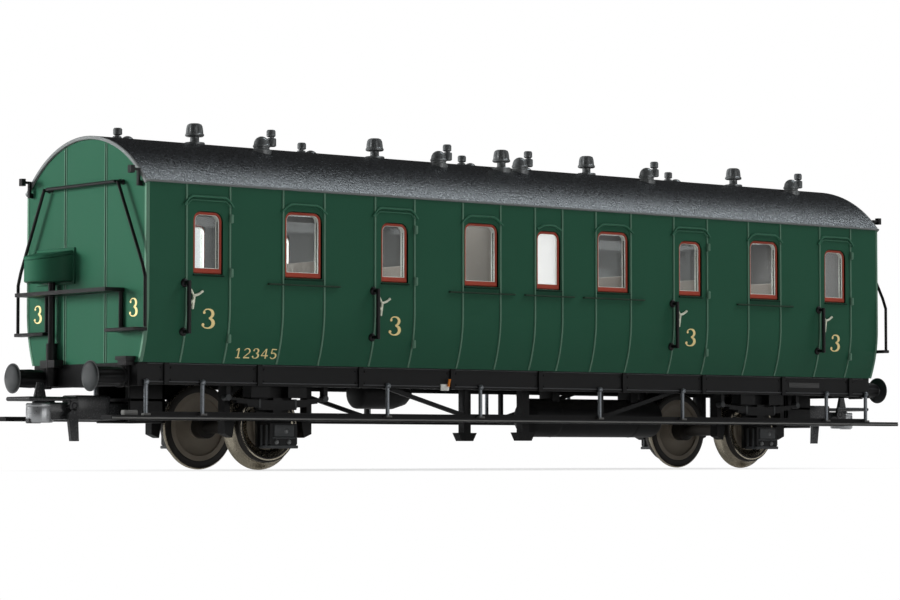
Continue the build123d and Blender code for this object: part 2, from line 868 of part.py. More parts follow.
# Couplers at the brake end; the other end is the same turned round
shank_x = (-coupler_pivot_x + 2 * coupler_pin_radius, -coupler_head_x)
shank_z = (shank_bottom, shank_top)
coupler = block(shank_x, (-shank_half, shank_half), shank_z)
coupler += drum_z(-coupler_head_x, 0, (coupler_head_bottom, shank_top), coupler_head_radius)
prong_z = (coupler_head_bottom, coupler_head_bottom + prong_thickness)
coupler += block((-coupler_head_x, -prong_reach), (-prong_half, prong_half), prong_z)
fin_x = (-coupler_head_x - fin_length / 2, -coupler_head_x + fin_length / 2)
coupler += block(fin_x, (-fin_width / 2, fin_width / 2), (shank_top, shank_top + fin_height))
eye_half = loop_half - loop_bar
coupler += drum_y(-loop_pivot_x, (-loop_half, loop_half), loop_pivot_z, loop_pin_radius)
coupler -= drum_z(-coupler_pivot_x, 0, shank_z, coupler_pin_radius + coupler_pin_clearance)

# Loop: a front bar on two arms with eyes, and the release tail below one eye
loop_low = shank_top + loop_rise
loop_z = (loop_low, loop_low + loop_bar)
loop = block((-loop_front_x, -loop_front_x + loop_bar), (-loop_half, loop_half), loop_z)
for side in sides:
    arm_y = (side * eye_half, side * loop_half)
    loop += block((-loop_front_x, -loop_pivot_x), arm_y, loop_z)
    eye_x = (-loop_pivot_x - loop_bar, -loop_pivot_x + loop_bar)
    loop += block(eye_x, arm_y, (loop_pivot_z, loop_low + loop_bar))
    loop += drum_y(-loop_pivot_x, arm_y, loop_pivot_z, loop_eye_radius)
tail_x = (-loop_pivot_x - tail_length / 2, -loop_pivot_x + tail_length / 2)
loop += block(tail_x, (-loop_half, -eye_half), (tail_bottom, loop_pivot_z))
loop -= drum_y(-loop_pivot_x, (-loop_half, loop_half), loop_pivot_z, loop_pin_radius + loop_pin_clearance)

# Pocket: two cheeks and a keeper plate round the pivot pin
pocket_x = (-coupler_pivot_x + pocket_reach, -coupler_pivot_x - pocket_reach)
keeper_top = shank_bottom - shank_gap
keeper_z = (keeper_top - pocket_plate, keeper_top)
pocket = block(pocket_x, (-pocket_half, pocket_half), keeper_z)
for side in sides:
    cheek = (side * (pocket_half - pocket_wall), side * pocket_half)
    pocket += block(pocket_x, cheek, (keeper_z[0], floor_under))
back_x = (pocket_x[0], pocket_x[0] - pocket_wall)
pocket += block(back_x, (-pocket_half, pocket_half), (keeper_z[0], floor_under))
pocket += drum_z(-coupler_pivot_x, 0, (keeper_top, floor_under), coupler_pin_radius)
ceiling = shank_top + shank_gap
pocket += block(pocket_x, (-pocket_half, pocket_half), (ceiling, ceiling + pocket_plate))

for letter, turn in (("a", lambda shape: shape), ("b", half_turn)):
    save(f"coupler_{letter}", turn(coupler))
    save(f"coupler_loop_{letter}", turn(loop))
    save(f"coupler_pocket_{letter}", turn(pocket))

# End rails and steps, the same at both ends
rail_x = -half_length - end_rail_standoff
rails = []
steps = []
rails.append(wire([
    (-half_length, -top_rail_half, top_rail_z),
    (rail_x, -top_rail_half, top_rail_z),
    (rail_x, top_rail_half, top_rail_z),
    (-half_length, top_rail_half, top_rail_z),
], end_rail_radius))
for side in sides:
    rails.append(wire([
        (-half_length, side * side_rail_top_y, side_rail_top_z),
        (rail_x, side * side_rail_top_y, side_rail_top_z),
        (rail_x, side * side_rail_knee_y, side_rail_knee_z),
        (rail_x, side * side_rail_y, side_rail_bend_z),
        (rail_x, side * side_rail_y, step_top),
    ], end_rail_radius))
    step_y = (side * step_inner, side * step_outer)
    step_x = (-half_length, -half_length - step_depth)
    steps.append(block(step_x, step_y, (step_top - step_thickness, step_top)))
save("end_rails", rails + [half_turn(rail) for rail in rails])
save("end_steps", steps + [half_turn(step) for step in steps])

# Lamp brackets high on each end: a foot on the wall, a stem before the roof's rim and a socket on an arm
brackets = []
stem_back = -half_length - roof_overhang - lamp_bracket_gap
stem_front = stem_back - lamp_bracket_thickness
socket_back = stem_front - lamp_arm_length
socket_z = lamp_bracket_top - lamp_bracket_thickness / 2
for side in sides:
    y = side * lamp_bracket_y
    strip = (y - lamp_bracket_width / 2, y + lamp_bracket_width / 2)
    foot_z = (lamp_bracket_foot, lamp_bracket_foot + lamp_bracket_foot_height)
    bracket = block((-half_length, stem_front), strip, foot_z)
    bracket += block((stem_back, stem_front), strip, (lamp_bracket_foot, lamp_bracket_top))
    arm_z = (lamp_bracket_top - lamp_bracket_thickness, lamp_bracket_top)
    bracket += block((stem_front, socket_back), strip, arm_z)
    bracket += block(
        (socket_back, socket_back - lamp_socket_depth),
        (y - lamp_socket_width / 2, y + lamp_socket_width / 2),
        (socket_z - lamp_socket_height / 2, socket_z + lamp_socket_height / 2),
    )
    brackets.append(bracket)
save("lamp_brackets", brackets + [half_turn(bracket) for bracket in brackets])

# Tread block above one buffer of each end, with an overhanging cap
tread_y = (tread_block_y - tread_block_width / 2, tread_block_y + tread_block_width / 2)
tread_x = (-half_length, -half_length - tread_block_depth)
cap_bottom = tread_block_bottom + tread_block_height
tread = block(tread_x, tread_y, (tread_block_bottom, cap_bottom))
cap_y = (tread_y[0] - tread_cap_over, tread_y[1] + tread_cap_over)
cap_x = (-half_length, tread_x[1] - tread_cap_over)
tread += block(cap_x, cap_y, (cap_bottom, cap_bottom + tread_cap_height))
save("tread_blocks", [tread, half_turn(tread)])

# Brake end: shelf with its two rods down to the steps, hand-brake box and shaft
shelf_x = (-half_length, -half_length - shelf_depth)
shelf_z = (shelf_top - shelf_thickness, shelf_top)
shelf = block(shelf_x, (shelf_near, shelf_far), shelf_z)
step_rod_x = -half_length - step_rod_radius - fit
for side in sides:
    shelf += drum_z(step_rod_x, side * step_rod_y, (step_top, shelf_z[0]), step_rod_radius)
save("brake_shelf", shelf)
brake_box = drum_z(-half_length, box_y, (brake_box_bottom, brake_box_top), brake_box_radius)
box_reach = (-half_length, -half_length - brake_box_radius)
brake_box -= block((-half_length, 0), (box_y - brake_box_radius, box_y + brake_box_radius), (0, eave))
lid = plate_y([
    (box_reach[0], brake_box_top),
    (box_reach[1], brake_box_top),
    (box_reach[1], brake_box_top - brake_box_fall),
], (box_y - brake_box_radius, box_y + brake_box_radius))
brake_box -= lid
plate_y_span = (box_y - brake_box_radius - box_plate_margin, box_y + brake_box_radius + box_plate_margin)
plate_z_span = (brake_box_bottom - box_plate_margin, brake_box_top + box_plate_margin)
brake_box += block((-half_length, -half_length - box_plate_thickness), plate_y_span, plate_z_span)
save("brake_box", brake_box)
shaft_x = -half_length - shaft_standoff
shaft = drum_z(shaft_x, box_y, (solebar_bottom, shelf_z[0]), shaft_radius)
shaft += drum_z(shaft_x, box_y, (solebar_bottom, shaft_sleeve_top), shaft_sleeve_radius)
bearing_z = (tread_block_bottom, tread_block_bottom + bearing_height)
shaft += block(
    (-half_length, -half_length - bearing_depth),
    (box_y - bearing_half, box_y + bearing_half),
    bearing_z,
)
save("brake_shaft", [shaft, drum_z(shaft_x, box_y, (shelf_top, brake_box_bottom), shaft_radius)])

# Door furniture: a grab rail at the left edge of each door and its lever, the same from each side
grab_rails = []
levers = []
grab_y = -half_width - grab_standoff
for x in [end * place for end in ends for place in door_x]:
    bar_x = x - grab_offset
    grab = drum_z(bar_x, grab_y, (grab_bottom, grab_top), grab_radius)
    for z in (grab_bottom + grab_foot_inset, grab_top - grab_foot_inset):
        grab += drum_y(bar_x, (grab_y, -wall_y(z)), z, grab_foot_radius)
    lever_y = (-half_width, -half_width - lever_thickness)
    fork = (x - lever_fork_x, lever_fork_z)
    lever = None
    for across, up in (lever_stem, lever_branch, lever_foot):
        arm = bar_xz(fork, (fork[0] + across, fork[1] + up), lever_width, lever_y)
        lever = arm if lever is None else lever + arm
    grab_rails += [grab, half_turn(grab)]
    levers += [lever, half_turn(lever)]
save("grab_rails", grab_rails)
save("door_levers", levers)
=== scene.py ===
"""Looks of a two-axle model coach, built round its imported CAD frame."""

import json
import math

import bmesh
import bpy
import numpy as np
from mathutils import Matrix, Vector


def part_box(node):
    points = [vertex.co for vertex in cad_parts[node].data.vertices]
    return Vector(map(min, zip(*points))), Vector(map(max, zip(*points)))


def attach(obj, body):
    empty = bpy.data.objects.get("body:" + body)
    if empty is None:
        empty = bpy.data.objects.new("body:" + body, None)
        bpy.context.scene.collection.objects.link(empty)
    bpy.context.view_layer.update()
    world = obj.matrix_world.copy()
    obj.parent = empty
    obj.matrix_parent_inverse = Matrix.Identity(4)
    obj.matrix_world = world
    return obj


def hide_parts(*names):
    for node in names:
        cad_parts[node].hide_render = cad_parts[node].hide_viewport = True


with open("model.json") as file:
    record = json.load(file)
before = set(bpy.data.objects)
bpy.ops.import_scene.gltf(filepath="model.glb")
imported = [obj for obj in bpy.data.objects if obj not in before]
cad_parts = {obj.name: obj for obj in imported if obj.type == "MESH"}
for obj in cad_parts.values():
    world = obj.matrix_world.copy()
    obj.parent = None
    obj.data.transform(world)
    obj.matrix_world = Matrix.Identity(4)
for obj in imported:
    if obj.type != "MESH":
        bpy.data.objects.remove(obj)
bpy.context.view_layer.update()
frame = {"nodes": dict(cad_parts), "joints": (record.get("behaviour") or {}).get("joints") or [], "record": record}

bl_info = {
    "name": "Model Coach Dressing",
    "version": (1, 0, 0),
    "blender": (4, 5, 0),
    "location": "View3D > Sidebar > Coach",
    "description": "Dresses the frame of a two-axle model coach: walls, roof, running gear and stage",
    "category": "Object",
}

# Shapes are worked out in millimetres with heights above the foot of the wheel treads, as on a drawing.
# Shape.piece() lifts them by the depth of the flanges and turns them into metres.
MM = 0.001
JOINTS = {joint["name"]: joint for joint in frame["joints"]}

# Turns of a grid, as a factor for each axis: the half turn takes it to the other end and side
AS_DRAWN = np.ones(3)
HALF_TURN = np.array([-1.0, -1.0, 1.0])
BOTH = (AS_DRAWN, HALF_TURN)
MERGE_DISTANCE = 0.002
SLIVER = 0.0005
SMOOTH_BELOW = math.radians(38.0)

# Running gear
TREAD_RADIUS = 5.28
TYRE_WIDTH = 2.8
AXLE_X = abs(JOINTS["wheelset_spin_a"]["pos_m"][0]) / MM
AXLE_Z = JOINTS["wheelset_spin_a"]["pos_m"][2] / MM
FLANGE_DEPTH = AXLE_Z - TREAD_RADIUS
WHEEL_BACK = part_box("tyres_a")[1].y / MM - TYRE_WIDTH
PIVOT_X = abs(JOINTS["coupler_swing_a"]["pos_m"][0]) / MM
LOOP_X = abs(JOINTS["bail_lift_a"]["pos_m"][0]) / MM
LOOP_Z = JOINTS["bail_lift_a"]["pos_m"][2] / MM - FLANGE_DEPTH


def box_mm(node):
    """Lowest and highest corner of a CAD node in millimetres, heights above the foot of the treads."""
    corners = np.array([list(corner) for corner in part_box(node)]) / MM
    corners[:, 2] -= FLANGE_DEPTH
    return corners


# Body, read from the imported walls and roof
SIDE_LOW, SIDE_HIGH = box_mm("body_side_right")
HALF_WIDTH = -SIDE_LOW[1]
BODY_BOTTOM = SIDE_LOW[2]
EAVE = SIDE_HIGH[2]
HALF_LENGTH = -box_mm("body_end_a")[0][0]
TUMBLE_START = 22.0
TUMBLE_INSET = 1.6
TUMBLE_RADIUS = ((TUMBLE_START - BODY_BOTTOM) ** 2 + TUMBLE_INSET**2) / (2 * TUMBLE_INSET)
ROOF_HIGH = box_mm("roof")[1]
ROOF_RISE = ROOF_HIGH[2] - EAVE
ROOF_RADIUS = (ROOF_HIGH[1] ** 2 + ROOF_RISE**2) / (2 * ROOF_RISE)
ROOF_CENTRE = ROOF_HIGH[2] - ROOF_RADIUS
ROOF_THICKNESS = 0.5
ROOF_HALF_ANGLE = math.degrees(math.asin(ROOF_HIGH[1] / ROOF_RADIUS))
SILL = 26.3
SOLEBAR_FACE = 13.2

# Bays of one side: kind and centre
BAYS = [("toilet", 0.0)]
for way in (-1, 1):
    BAYS += [("window", way * 13.43), ("door", way * 30.11), ("window", way * 46.79), ("door", way * 63.47)]
DOORS = [centre for kind, centre in BAYS if kind == "door"]
# Side lights: width, top, half width between the seams of the bay
LIGHTS = {"door": (5.0, 35.05, 3.70), "window": (6.6, 35.8, 3.70), "toilet": (4.8, 35.25, 2.79)}
LIGHT_CORNER = 1.3
# Rain hoods: half width of the flat top, its height, half width at the ends, their height
HOODS = {
    "door": (3.15, 37.1, 4.2, 35.8),
    "window": (2.6, 36.82, 4.02, 35.68),
    "toilet": (1.1, 36.1, 2.45, 35.42),
}
COMPARTMENTS = (-55.13, -21.77, 21.77, 55.13)
HANGERS = [way * place for way in (-1, 1) for place in (12.15, 30.0, 63.1, 72.6)]


def slot_colour(slot):
    """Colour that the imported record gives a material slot."""
    for entry in frame["record"]["materials"]:
        if entry["slot"] == slot:
            return tuple(entry["base_color"][:3])
    raise KeyError(slot)


# Points and grids


def grid_quads(rows, columns, wrap_rows, wrap_columns):
    """Corner numbers of a grid's quads: each point with its neighbours in the next row and column."""
    row, column = np.meshgrid(
        np.arange(rows if wrap_rows else rows - 1),
        np.arange(columns if wrap_columns else columns - 1),
        indexing="ij",
    )
    here = row * columns
    ahead = (row + 1) % rows * columns
    aside = (column + 1) % columns
    return np.stack([here + column, ahead + column, ahead + aside, here + aside], -1).reshape(-1, 4)


def new_object(name, data):
    """Object at the origin, linked into the scene."""
    made = bpy.data.objects.new(name, data)
    bpy.context.scene.collection.objects.link(made)
    return made


class Shape:
    """Grids of points gathered into one mesh; every grid is added once for each turn of the shape."""

    def __init__(self, *turns):
        self.turns = turns or (AS_DRAWN,)
        self.points = []
        self.corners = []
        self.count = 0

    def add(self, grid, wrap_rows=False, wrap_columns=True):
        """One grid of points, rows by columns by three; quads join neighbours in both directions."""
        grid = np.asarray(grid, float)
        rows, columns = grid.shape[:2]
        quads = grid_quads(rows, columns, wrap_rows, wrap_columns)
        for turn in self.turns:
            self.points.append((grid * turn).reshape(-1, 3))
            self.corners.append(quads + self.count)
            self.count += rows * columns

    def box(self, x, y, z, radius=0.1, steps=2):
        """Rounded box between the two ends given for each axis."""
        low, high = np.sort(np.array([x, y, z], float), axis=1).T
        self.add(soft_box(low, high, radius, steps))

    def band(self, path, half, proud, place, crown=0.25):
        """Raised band along a flat path on a wall."""
        self.add(band(path, half, proud, place, crown))

    def tube(self, path, radius, sides=10):
        """Round bar along a path."""
        self.add(tube(path, radius, sides))

    def turned(self, profile, place, axis="z", segments=32, ribs=None):
        """Profile turned about an axis."""
        self.add(lathe(profile, place, axis, segments, ribs))

    def piece(self, name, slot, body="coach", replaces=(), look=None):
        """One object at the origin: doubles merged, ends closed, faces outward, smooth below an angle.

        The look names its finish where that isn't the finish of its slot.
        """
        points = np.concatenate(self.points)
        points[:, 2] += FLANGE_DEPTH
        mesh = bpy.data.meshes.new(name)
        mesh.from_pydata((points * MM).tolist(), [], np.concatenate(self.corners).tolist())
        work = bmesh.new()
        work.from_mesh(mesh)
        bmesh.ops.remove_doubles(work, verts=work.verts, dist=MERGE_DISTANCE * MM)
        bmesh.ops.dissolve_degenerate(work, edges=work.edges, dist=SLIVER * MM)
        bmesh.ops.holes_fill(work, edges=[edge for edge in work.edges if edge.is_boundary], sides=0)
        bmesh.ops.recalc_face_normals(work, faces=work.faces)
        work.to_mesh(mesh)
        work.free()
        mesh.shade_smooth()
        mesh.set_sharp_from_angle(angle=SMOOTH_BELOW)
        piece = new_object(name, mesh)
        mesh.materials.append(finish_for(look or slot))
        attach(piece, body)
        if replaces:
            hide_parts(*replaces)


def wall(z):
    """Half width of the body at a height: upright above, and below it an arc of the tumblehome's radius."""
    drop = np.clip(TUMBLE_START - np.asarray(z, float), 0, None)
    return HALF_WIDTH - TUMBLE_RADIUS + np.sqrt(TUMBLE_RADIUS**2 - drop**2)


def on_side(x, z, proud):
    """Points on the near side at x and z, standing proud of the wall."""
    x, z, proud = np.broadcast_arrays(np.asarray(x, float), z, proud)
    return np.stack([x, -(wall(z) + proud), z], -1)


def on_end(across, z, proud):
    """Points on the brake end, across to the right as one faces it, standing proud of the wall."""
    across, z, proud = np.broadcast_arrays(np.asarray(across, float), z, proud)
    return np.stack([-(HALF_LENGTH + proud), -across, z], -1)


def roof_z(y):
    """Height of the roof's outer face at y: a circle about the roof's centre."""
    return ROOF_CENTRE + math.sqrt(ROOF_RADIUS**2 - y**2)


def arc(centre, radii, start, stop, steps):
    """Points along an ellipse between two angles in degrees."""
    angle = np.radians(np.linspace(start, stop, steps))
    return np.stack([centre[0] + radii[0] * np.cos(angle), centre[1] + radii[1] * np.sin(angle)], -1)


def line(start, stop, steps):
    """Points along a straight run."""
    share = np.linspace(0, 1, steps)[:, None]
    return np.asarray(start, float) * (1 - share) + np.asarray(stop, float) * share


def upright(across, heights):
    """Flat path through the heights, at one place across or at one for each height."""
    return np.stack([np.broadcast_to(across, heights.shape), heights], -1)


def in_plane(outline, level, axis="x"):
    """Flat outline set in space: its columns are y and z at one x, or x and z at one y."""
    first, second = np.asarray(outline, float).T
    level = np.full_like(first, level)
    return np.stack((level, first, second) if axis == "x" else (first, level, second), -1)


def unit_tangents(path):
    """Unit vectors along a path: the step between both neighbours, divided by its length."""
    tangent = np.gradient(path, axis=0)
    return tangent / np.linalg.norm(tangent, axis=1, keepdims=True)


def band(path, half, proud, place, crown):
    """Raised band on a wall: a flat-topped section, rounded by crown, carried along a flat path.

    The section is spread to both sides along the tangent turned by a right angle; its feet are sunk.
    """
    sunk = 0.06
    tangent = unit_tangents(path)
    across = np.stack([-tangent[:, 1], tangent[:, 0]], -1)
    half = np.broadcast_to(np.asarray(half, float), path.shape[:1])[:, None]
    shares = np.array([-1.0, -1.0, -1 + crown, 1 - crown, 1.0, 1.0])
    heights = np.array([-sunk, proud * (1 - crown), proud, proud, proud * (1 - crown), -sunk])
    spread = path[:, None, :] + across[:, None, :] * (half * shares)[:, :, None]
    return place(spread[..., 0], spread[..., 1], heights[None, :])


def lathe(profile, place, axis, segments, ribs=None):
    """Profile of radius and height turned about an axis through place.

    Ribs are a count, a depth and two heights: between those a cosine waves the radius round the axis.
    """
    profile = np.asarray(profile, float)
    angle = np.linspace(0, 2 * np.pi, segments, endpoint=False)
    radius = profile[:, :1] * np.ones_like(angle)
    if ribs is not None:
        count, depth, low, high = ribs
        ribbed = ((profile[:, 1] > low) & (profile[:, 1] < high))[:, None]
        radius = radius * (1 + ribbed * depth * np.cos(count * angle))
    height = np.broadcast_to(profile[:, 1:], radius.shape)
    one = radius * np.cos(angle)
    two = radius * np.sin(angle)
    columns = {"x": (height, one, two), "y": (one, height, two), "z": (one, two, height)}[axis]
    return np.stack(columns, -1) + np.asarray(place, float)


def soft_box(low, high, radius, steps):
    """Grid of a rounded box: longitude and latitude run through each quarter with its own corner."""
    half = (high - low) / 2
    radius = min(radius, 0.49 * 2 * half.min())
    quarter = np.linspace(0, 90, steps + 1)
    longitude = np.radians((np.arange(4)[:, None] * 90 + quarter).ravel())
    corner = np.radians(np.repeat(np.arange(4) * 90 + 45, steps + 1))
    latitude = np.radians(np.concatenate([quarter - 90, quarter]))[:, None]
    up = np.repeat([-1.0, 1.0], steps + 1)[:, None]
    flat = np.cos(latitude)
    x = np.sign(np.cos(corner)) * (half[0] - radius) + radius * flat * np.cos(longitude)
    y = np.sign(np.sin(corner)) * (half[1] - radius) + radius * flat * np.sin(longitude)
    z = up * (half[2] - radius) + radius * np.sin(latitude) + 0 * x
    return np.stack([x, y, z], -1) + (low + high) / 2


def bend(points, radius, steps=5):
    """Path through corner points with each bend rounded by a quadratic curve of about that radius."""
    points = np.asarray(points, float)
    share = np.linspace(0, 1, steps)[:, None]
    runs = [points[:1]]
    for before, corner, after in zip(points, points[1:], points[2:]):
        back = before - corner
        ahead = after - corner
        cut = min(radius, 0.45 * np.linalg.norm(back), 0.45 * np.linalg.norm(ahead))
        start = corner + back / np.linalg.norm(back) * cut
        stop = corner + ahead / np.linalg.norm(ahead) * cut
        runs.append((1 - share) ** 2 * start + 2 * share * (1 - share) * corner + share**2 * stop)
    runs.append(points[-1:])
    return np.concatenate(runs)


def tube(path, radius, sides):
    """Round section carried along a path: two axes square to the tangent and to each other turn with it."""
    tangent = unit_tangents(path)
    guide = np.array([0.31, 0.57, 0.76])
    first = np.cross(tangent, guide)
    first /= np.linalg.norm(first, axis=1, keepdims=True)
    second = np.cross(tangent, first)
    angle = np.linspace(0, 2 * np.pi, sides, endpoint=False)[None, :, None]
    radius = np.broadcast_to(np.asarray(radius, float), path.shape[:1])[:, None, None]
    ring = np.cos(angle) * first[:, None, :] + np.sin(angle) * second[:, None, :]
    return path[:, None, :] + radius * ring


def bolt_head(radius, height, steps, segments, faces="side"):
    """Bolt or rivet head: a quarter of an ellipse turned about the way that it faces, with its rim sunk."""
    angle = np.linspace(0, np.pi / 2, steps)
    dome = np.stack([radius * np.cos(angle), height * np.sin(angle)], -1)
    head = lathe(np.concatenate([[(radius, -0.05)], dome]), (0, 0, 0), "z", segments)
    one, two, out = head[..., 0], head[..., 1], -head[..., 2]
    return np.stack({"side": (one, out, two), "end": (out, one, two)}[faces], -1)


def vessel_profile(half, radius, dish):
    """Closed cylinder whose ends are quarter ellipses of the given depth."""
    angle = np.radians(np.linspace(0, 90, 8))
    end = np.stack([radius * np.sin(angle), -half + dish * (1 - np.cos(angle))], -1)
    return np.concatenate([end, (end * (1, -1))[::-1]])


# Shader groups and finishes

COLOUR = "NodeSocketColor"
NUMBER = "NodeSocketFloat"
VECTOR = "NodeSocketVector"
WHITE = (1.0, 1.0, 1.0, 1.0)


def feed(tree, socket, value):
    """Links a source to an input, or sets a plain value on it."""
    if isinstance(value, bpy.types.NodeSocket):
        tree.links.new(value, socket)
    else:
        socket.default_value = value


def node(tree, kind, *values, **named):
    """New shader node; values feed its inputs in order, names the named ones, or attributes after set_."""
    made = tree.nodes.new(kind)
    for name in [name for name in named if name.startswith("set_")]:
        setattr(made, name[4:], named.pop(name))
    for socket, value in zip(made.inputs, values):
        feed(tree, socket, value)
    for name, value in named.items():
        feed(tree, made.inputs[name.replace("_", " ")], value)
    return made


def math_node(tree, operation, *values):
    """Result of a Math node whose inputs are sockets or plain numbers."""
    return node(tree, "ShaderNodeMath", *values, set_operation=operation).outputs[0]


def vector_node(tree, operation, *values):
    """Vector Math node."""
    return node(tree, "ShaderNodeVectorMath", *values, set_operation=operation)


def mix_colour(tree, factor, first, second, blend="MIX"):
    """Colour mix of two colour sockets by a factor socket or number."""
    made = node(tree, "ShaderNodeMix", set_data_type="RGBA", set_blend_type=blend)
    for index, value in ((0, factor), (6, first), (7, second)):
        feed(tree, made.inputs[index], value)
    return made.outputs[2]


def noise(tree, scale, detail, roughness=0.5):
    """Noise over the piece's own coordinates."""
    place = tree.nodes.new("ShaderNodeTexCoord").outputs["Object"]
    made = node(tree, "ShaderNodeTexNoise", Vector=place, Scale=scale, Detail=detail, Roughness=roughness)
    return made.outputs[0]


def fill_paint(group, given):
    """Sprayed paint: slow patches lighten and darken the colour, fine grain drives gloss and relief."""
    grain = noise(group, given["Grain Scale"], 2.0)
    swing = math_node(group, "MULTIPLY_ADD", noise(group, given["Patch Scale"], 3.0), 2.0, -1.0)
    level = math_node(group, "MULTIPLY_ADD", swing, given["Variation"], 1.0)
    fine = math_node(group, "SUBTRACT", grain, 0.5)
    speck = math_node(group, "MULTIPLY_ADD", fine, given["Variation"], level)
    shaded = mix_colour(group, 1.0, given["Color"], speck, "MULTIPLY")
    rough = math_node(group, "MULTIPLY_ADD", fine, given["Gloss Spread"], given["Roughness"])
    return {"Color": shaded, "Roughness": rough, "Height": grain}


def fill_fleck(group, given):
    """Mineral flecks: where fine noise rises over a threshold the fleck colour shows and stands up."""
    grain = noise(group, given["Fleck Scale"], 2.0, 0.7)
    over = math_node(group, "ADD", grain, given["Share"])
    mask = node(group, "ShaderNodeClamp", Value=math_node(group, "MULTIPLY_ADD", over, 5.0, -4.5))
    mixed = mix_colour(group, mask.outputs[0], given["Color"], given["Fleck Color"])
    return {"Color": mixed, "Height": grain}


def fill_dust(group, given):
    """Settled dust: faces that look up take a little of the dust colour, broken up by noise."""
    facing = node(group, "ShaderNodeSeparateXYZ", group.nodes.new("ShaderNodeNewGeometry").outputs["Normal"])
    upward = node(group, "ShaderNodeMapRange", Value=facing.outputs["Z"], From_Min=0.4, From_Max=1.0)
    broken = math_node(group, "MULTIPLY", upward.outputs[0], noise(group, 900.0, 3.0))
    amount = math_node(group, "MULTIPLY", broken, given["Amount"])
    return {"Color": mix_colour(group, amount, given["Color"], given["Dust Color"])}


def fill_inner(group, given):
    """Inner faces: where a face looks back toward the centre, weighed by axis, the inner colour shows."""
    place = group.nodes.new("ShaderNodeTexCoord").outputs["Object"]
    normal = group.nodes.new("ShaderNodeNewGeometry").outputs["Normal"]
    away = vector_node(group, "SUBTRACT", place, given["Centre"]).outputs["Vector"]
    weighed = vector_node(group, "MULTIPLY", away, given["Axes"]).outputs["Vector"]
    along = vector_node(group, "DOT_PRODUCT", weighed, normal).outputs["Value"]
    mask = node(
        group, "ShaderNodeMapRange", Value=along, From_Min=-0.002, From_Max=-0.001, To_Min=1.0, To_Max=0.0,
    )
    return {"Color": mix_colour(group, mask.outputs[0], given["Color"], given["Inner Color"])}


# Shader groups: inputs with kind and default, outputs, and the function that fills the group
SHADER_GROUPS = {
    "Sprayed Paint": (
        {
            "Color": (COLOUR, WHITE),
            "Variation": (NUMBER, 0.06),
            "Patch Scale": (NUMBER, 120.0),
            "Grain Scale": (NUMBER, 5000.0),
            "Roughness": (NUMBER, 0.45),
            "Gloss Spread": (NUMBER, 0.1),
        },
        {"Color": COLOUR, "Roughness": NUMBER, "Height": NUMBER},
        fill_paint,
    ),
    "Mineral Fleck": (
        {
            "Color": (COLOUR, WHITE),
            "Fleck Color": (COLOUR, WHITE),
            "Fleck Scale": (NUMBER, 3000.0),
            "Share": (NUMBER, 0.5),
        },
        {"Color": COLOUR, "Height": NUMBER},
        fill_fleck,
    ),
    "Settled Dust": (
        {"Color": (COLOUR, WHITE), "Dust Color": (COLOUR, (0.2, 0.19, 0.17, 1.0)), "Amount": (NUMBER, 0.2)},
        {"Color": COLOUR},
        fill_dust,
    ),
    "Inner Face": (
        {
            "Color": (COLOUR, WHITE),
            "Inner Color": (COLOUR, WHITE),
            "Centre": (VECTOR, (0.0, 0.0, 0.0)),
            "Axes": (VECTOR, (1.0, 1.0, 0.0)),
        },
        {"Color": COLOUR},
        fill_inner,
    ),
}


def shared_group(name):
    """Shader group of that name, made and filled when it is first asked for."""
    if name in bpy.data.node_groups:
        return bpy.data.node_groups[name]
    inputs, outputs, fill = SHADER_GROUPS[name]
    group = bpy.data.node_groups.new(name, "ShaderNodeTree")
    for label, (kind, default) in inputs.items():
        group.interface.new_socket(label, in_out="INPUT", socket_type=kind).default_value = default
    for label, kind in outputs.items():
        group.interface.new_socket(label, in_out="OUTPUT", socket_type=kind)
    given = group.nodes.new("NodeGroupInput").outputs
    result = group.nodes.new("NodeGroupOutput").inputs
    for label, source in fill(group, given).items():
        group.links.new(source, result[label])
    return group


def place_group(tree, name, **values):
    """Outputs of a shared group that is placed in a material with its own values."""
    return node(tree, "ShaderNodeGroup", set_node_tree=shared_group(name), **values).outputs


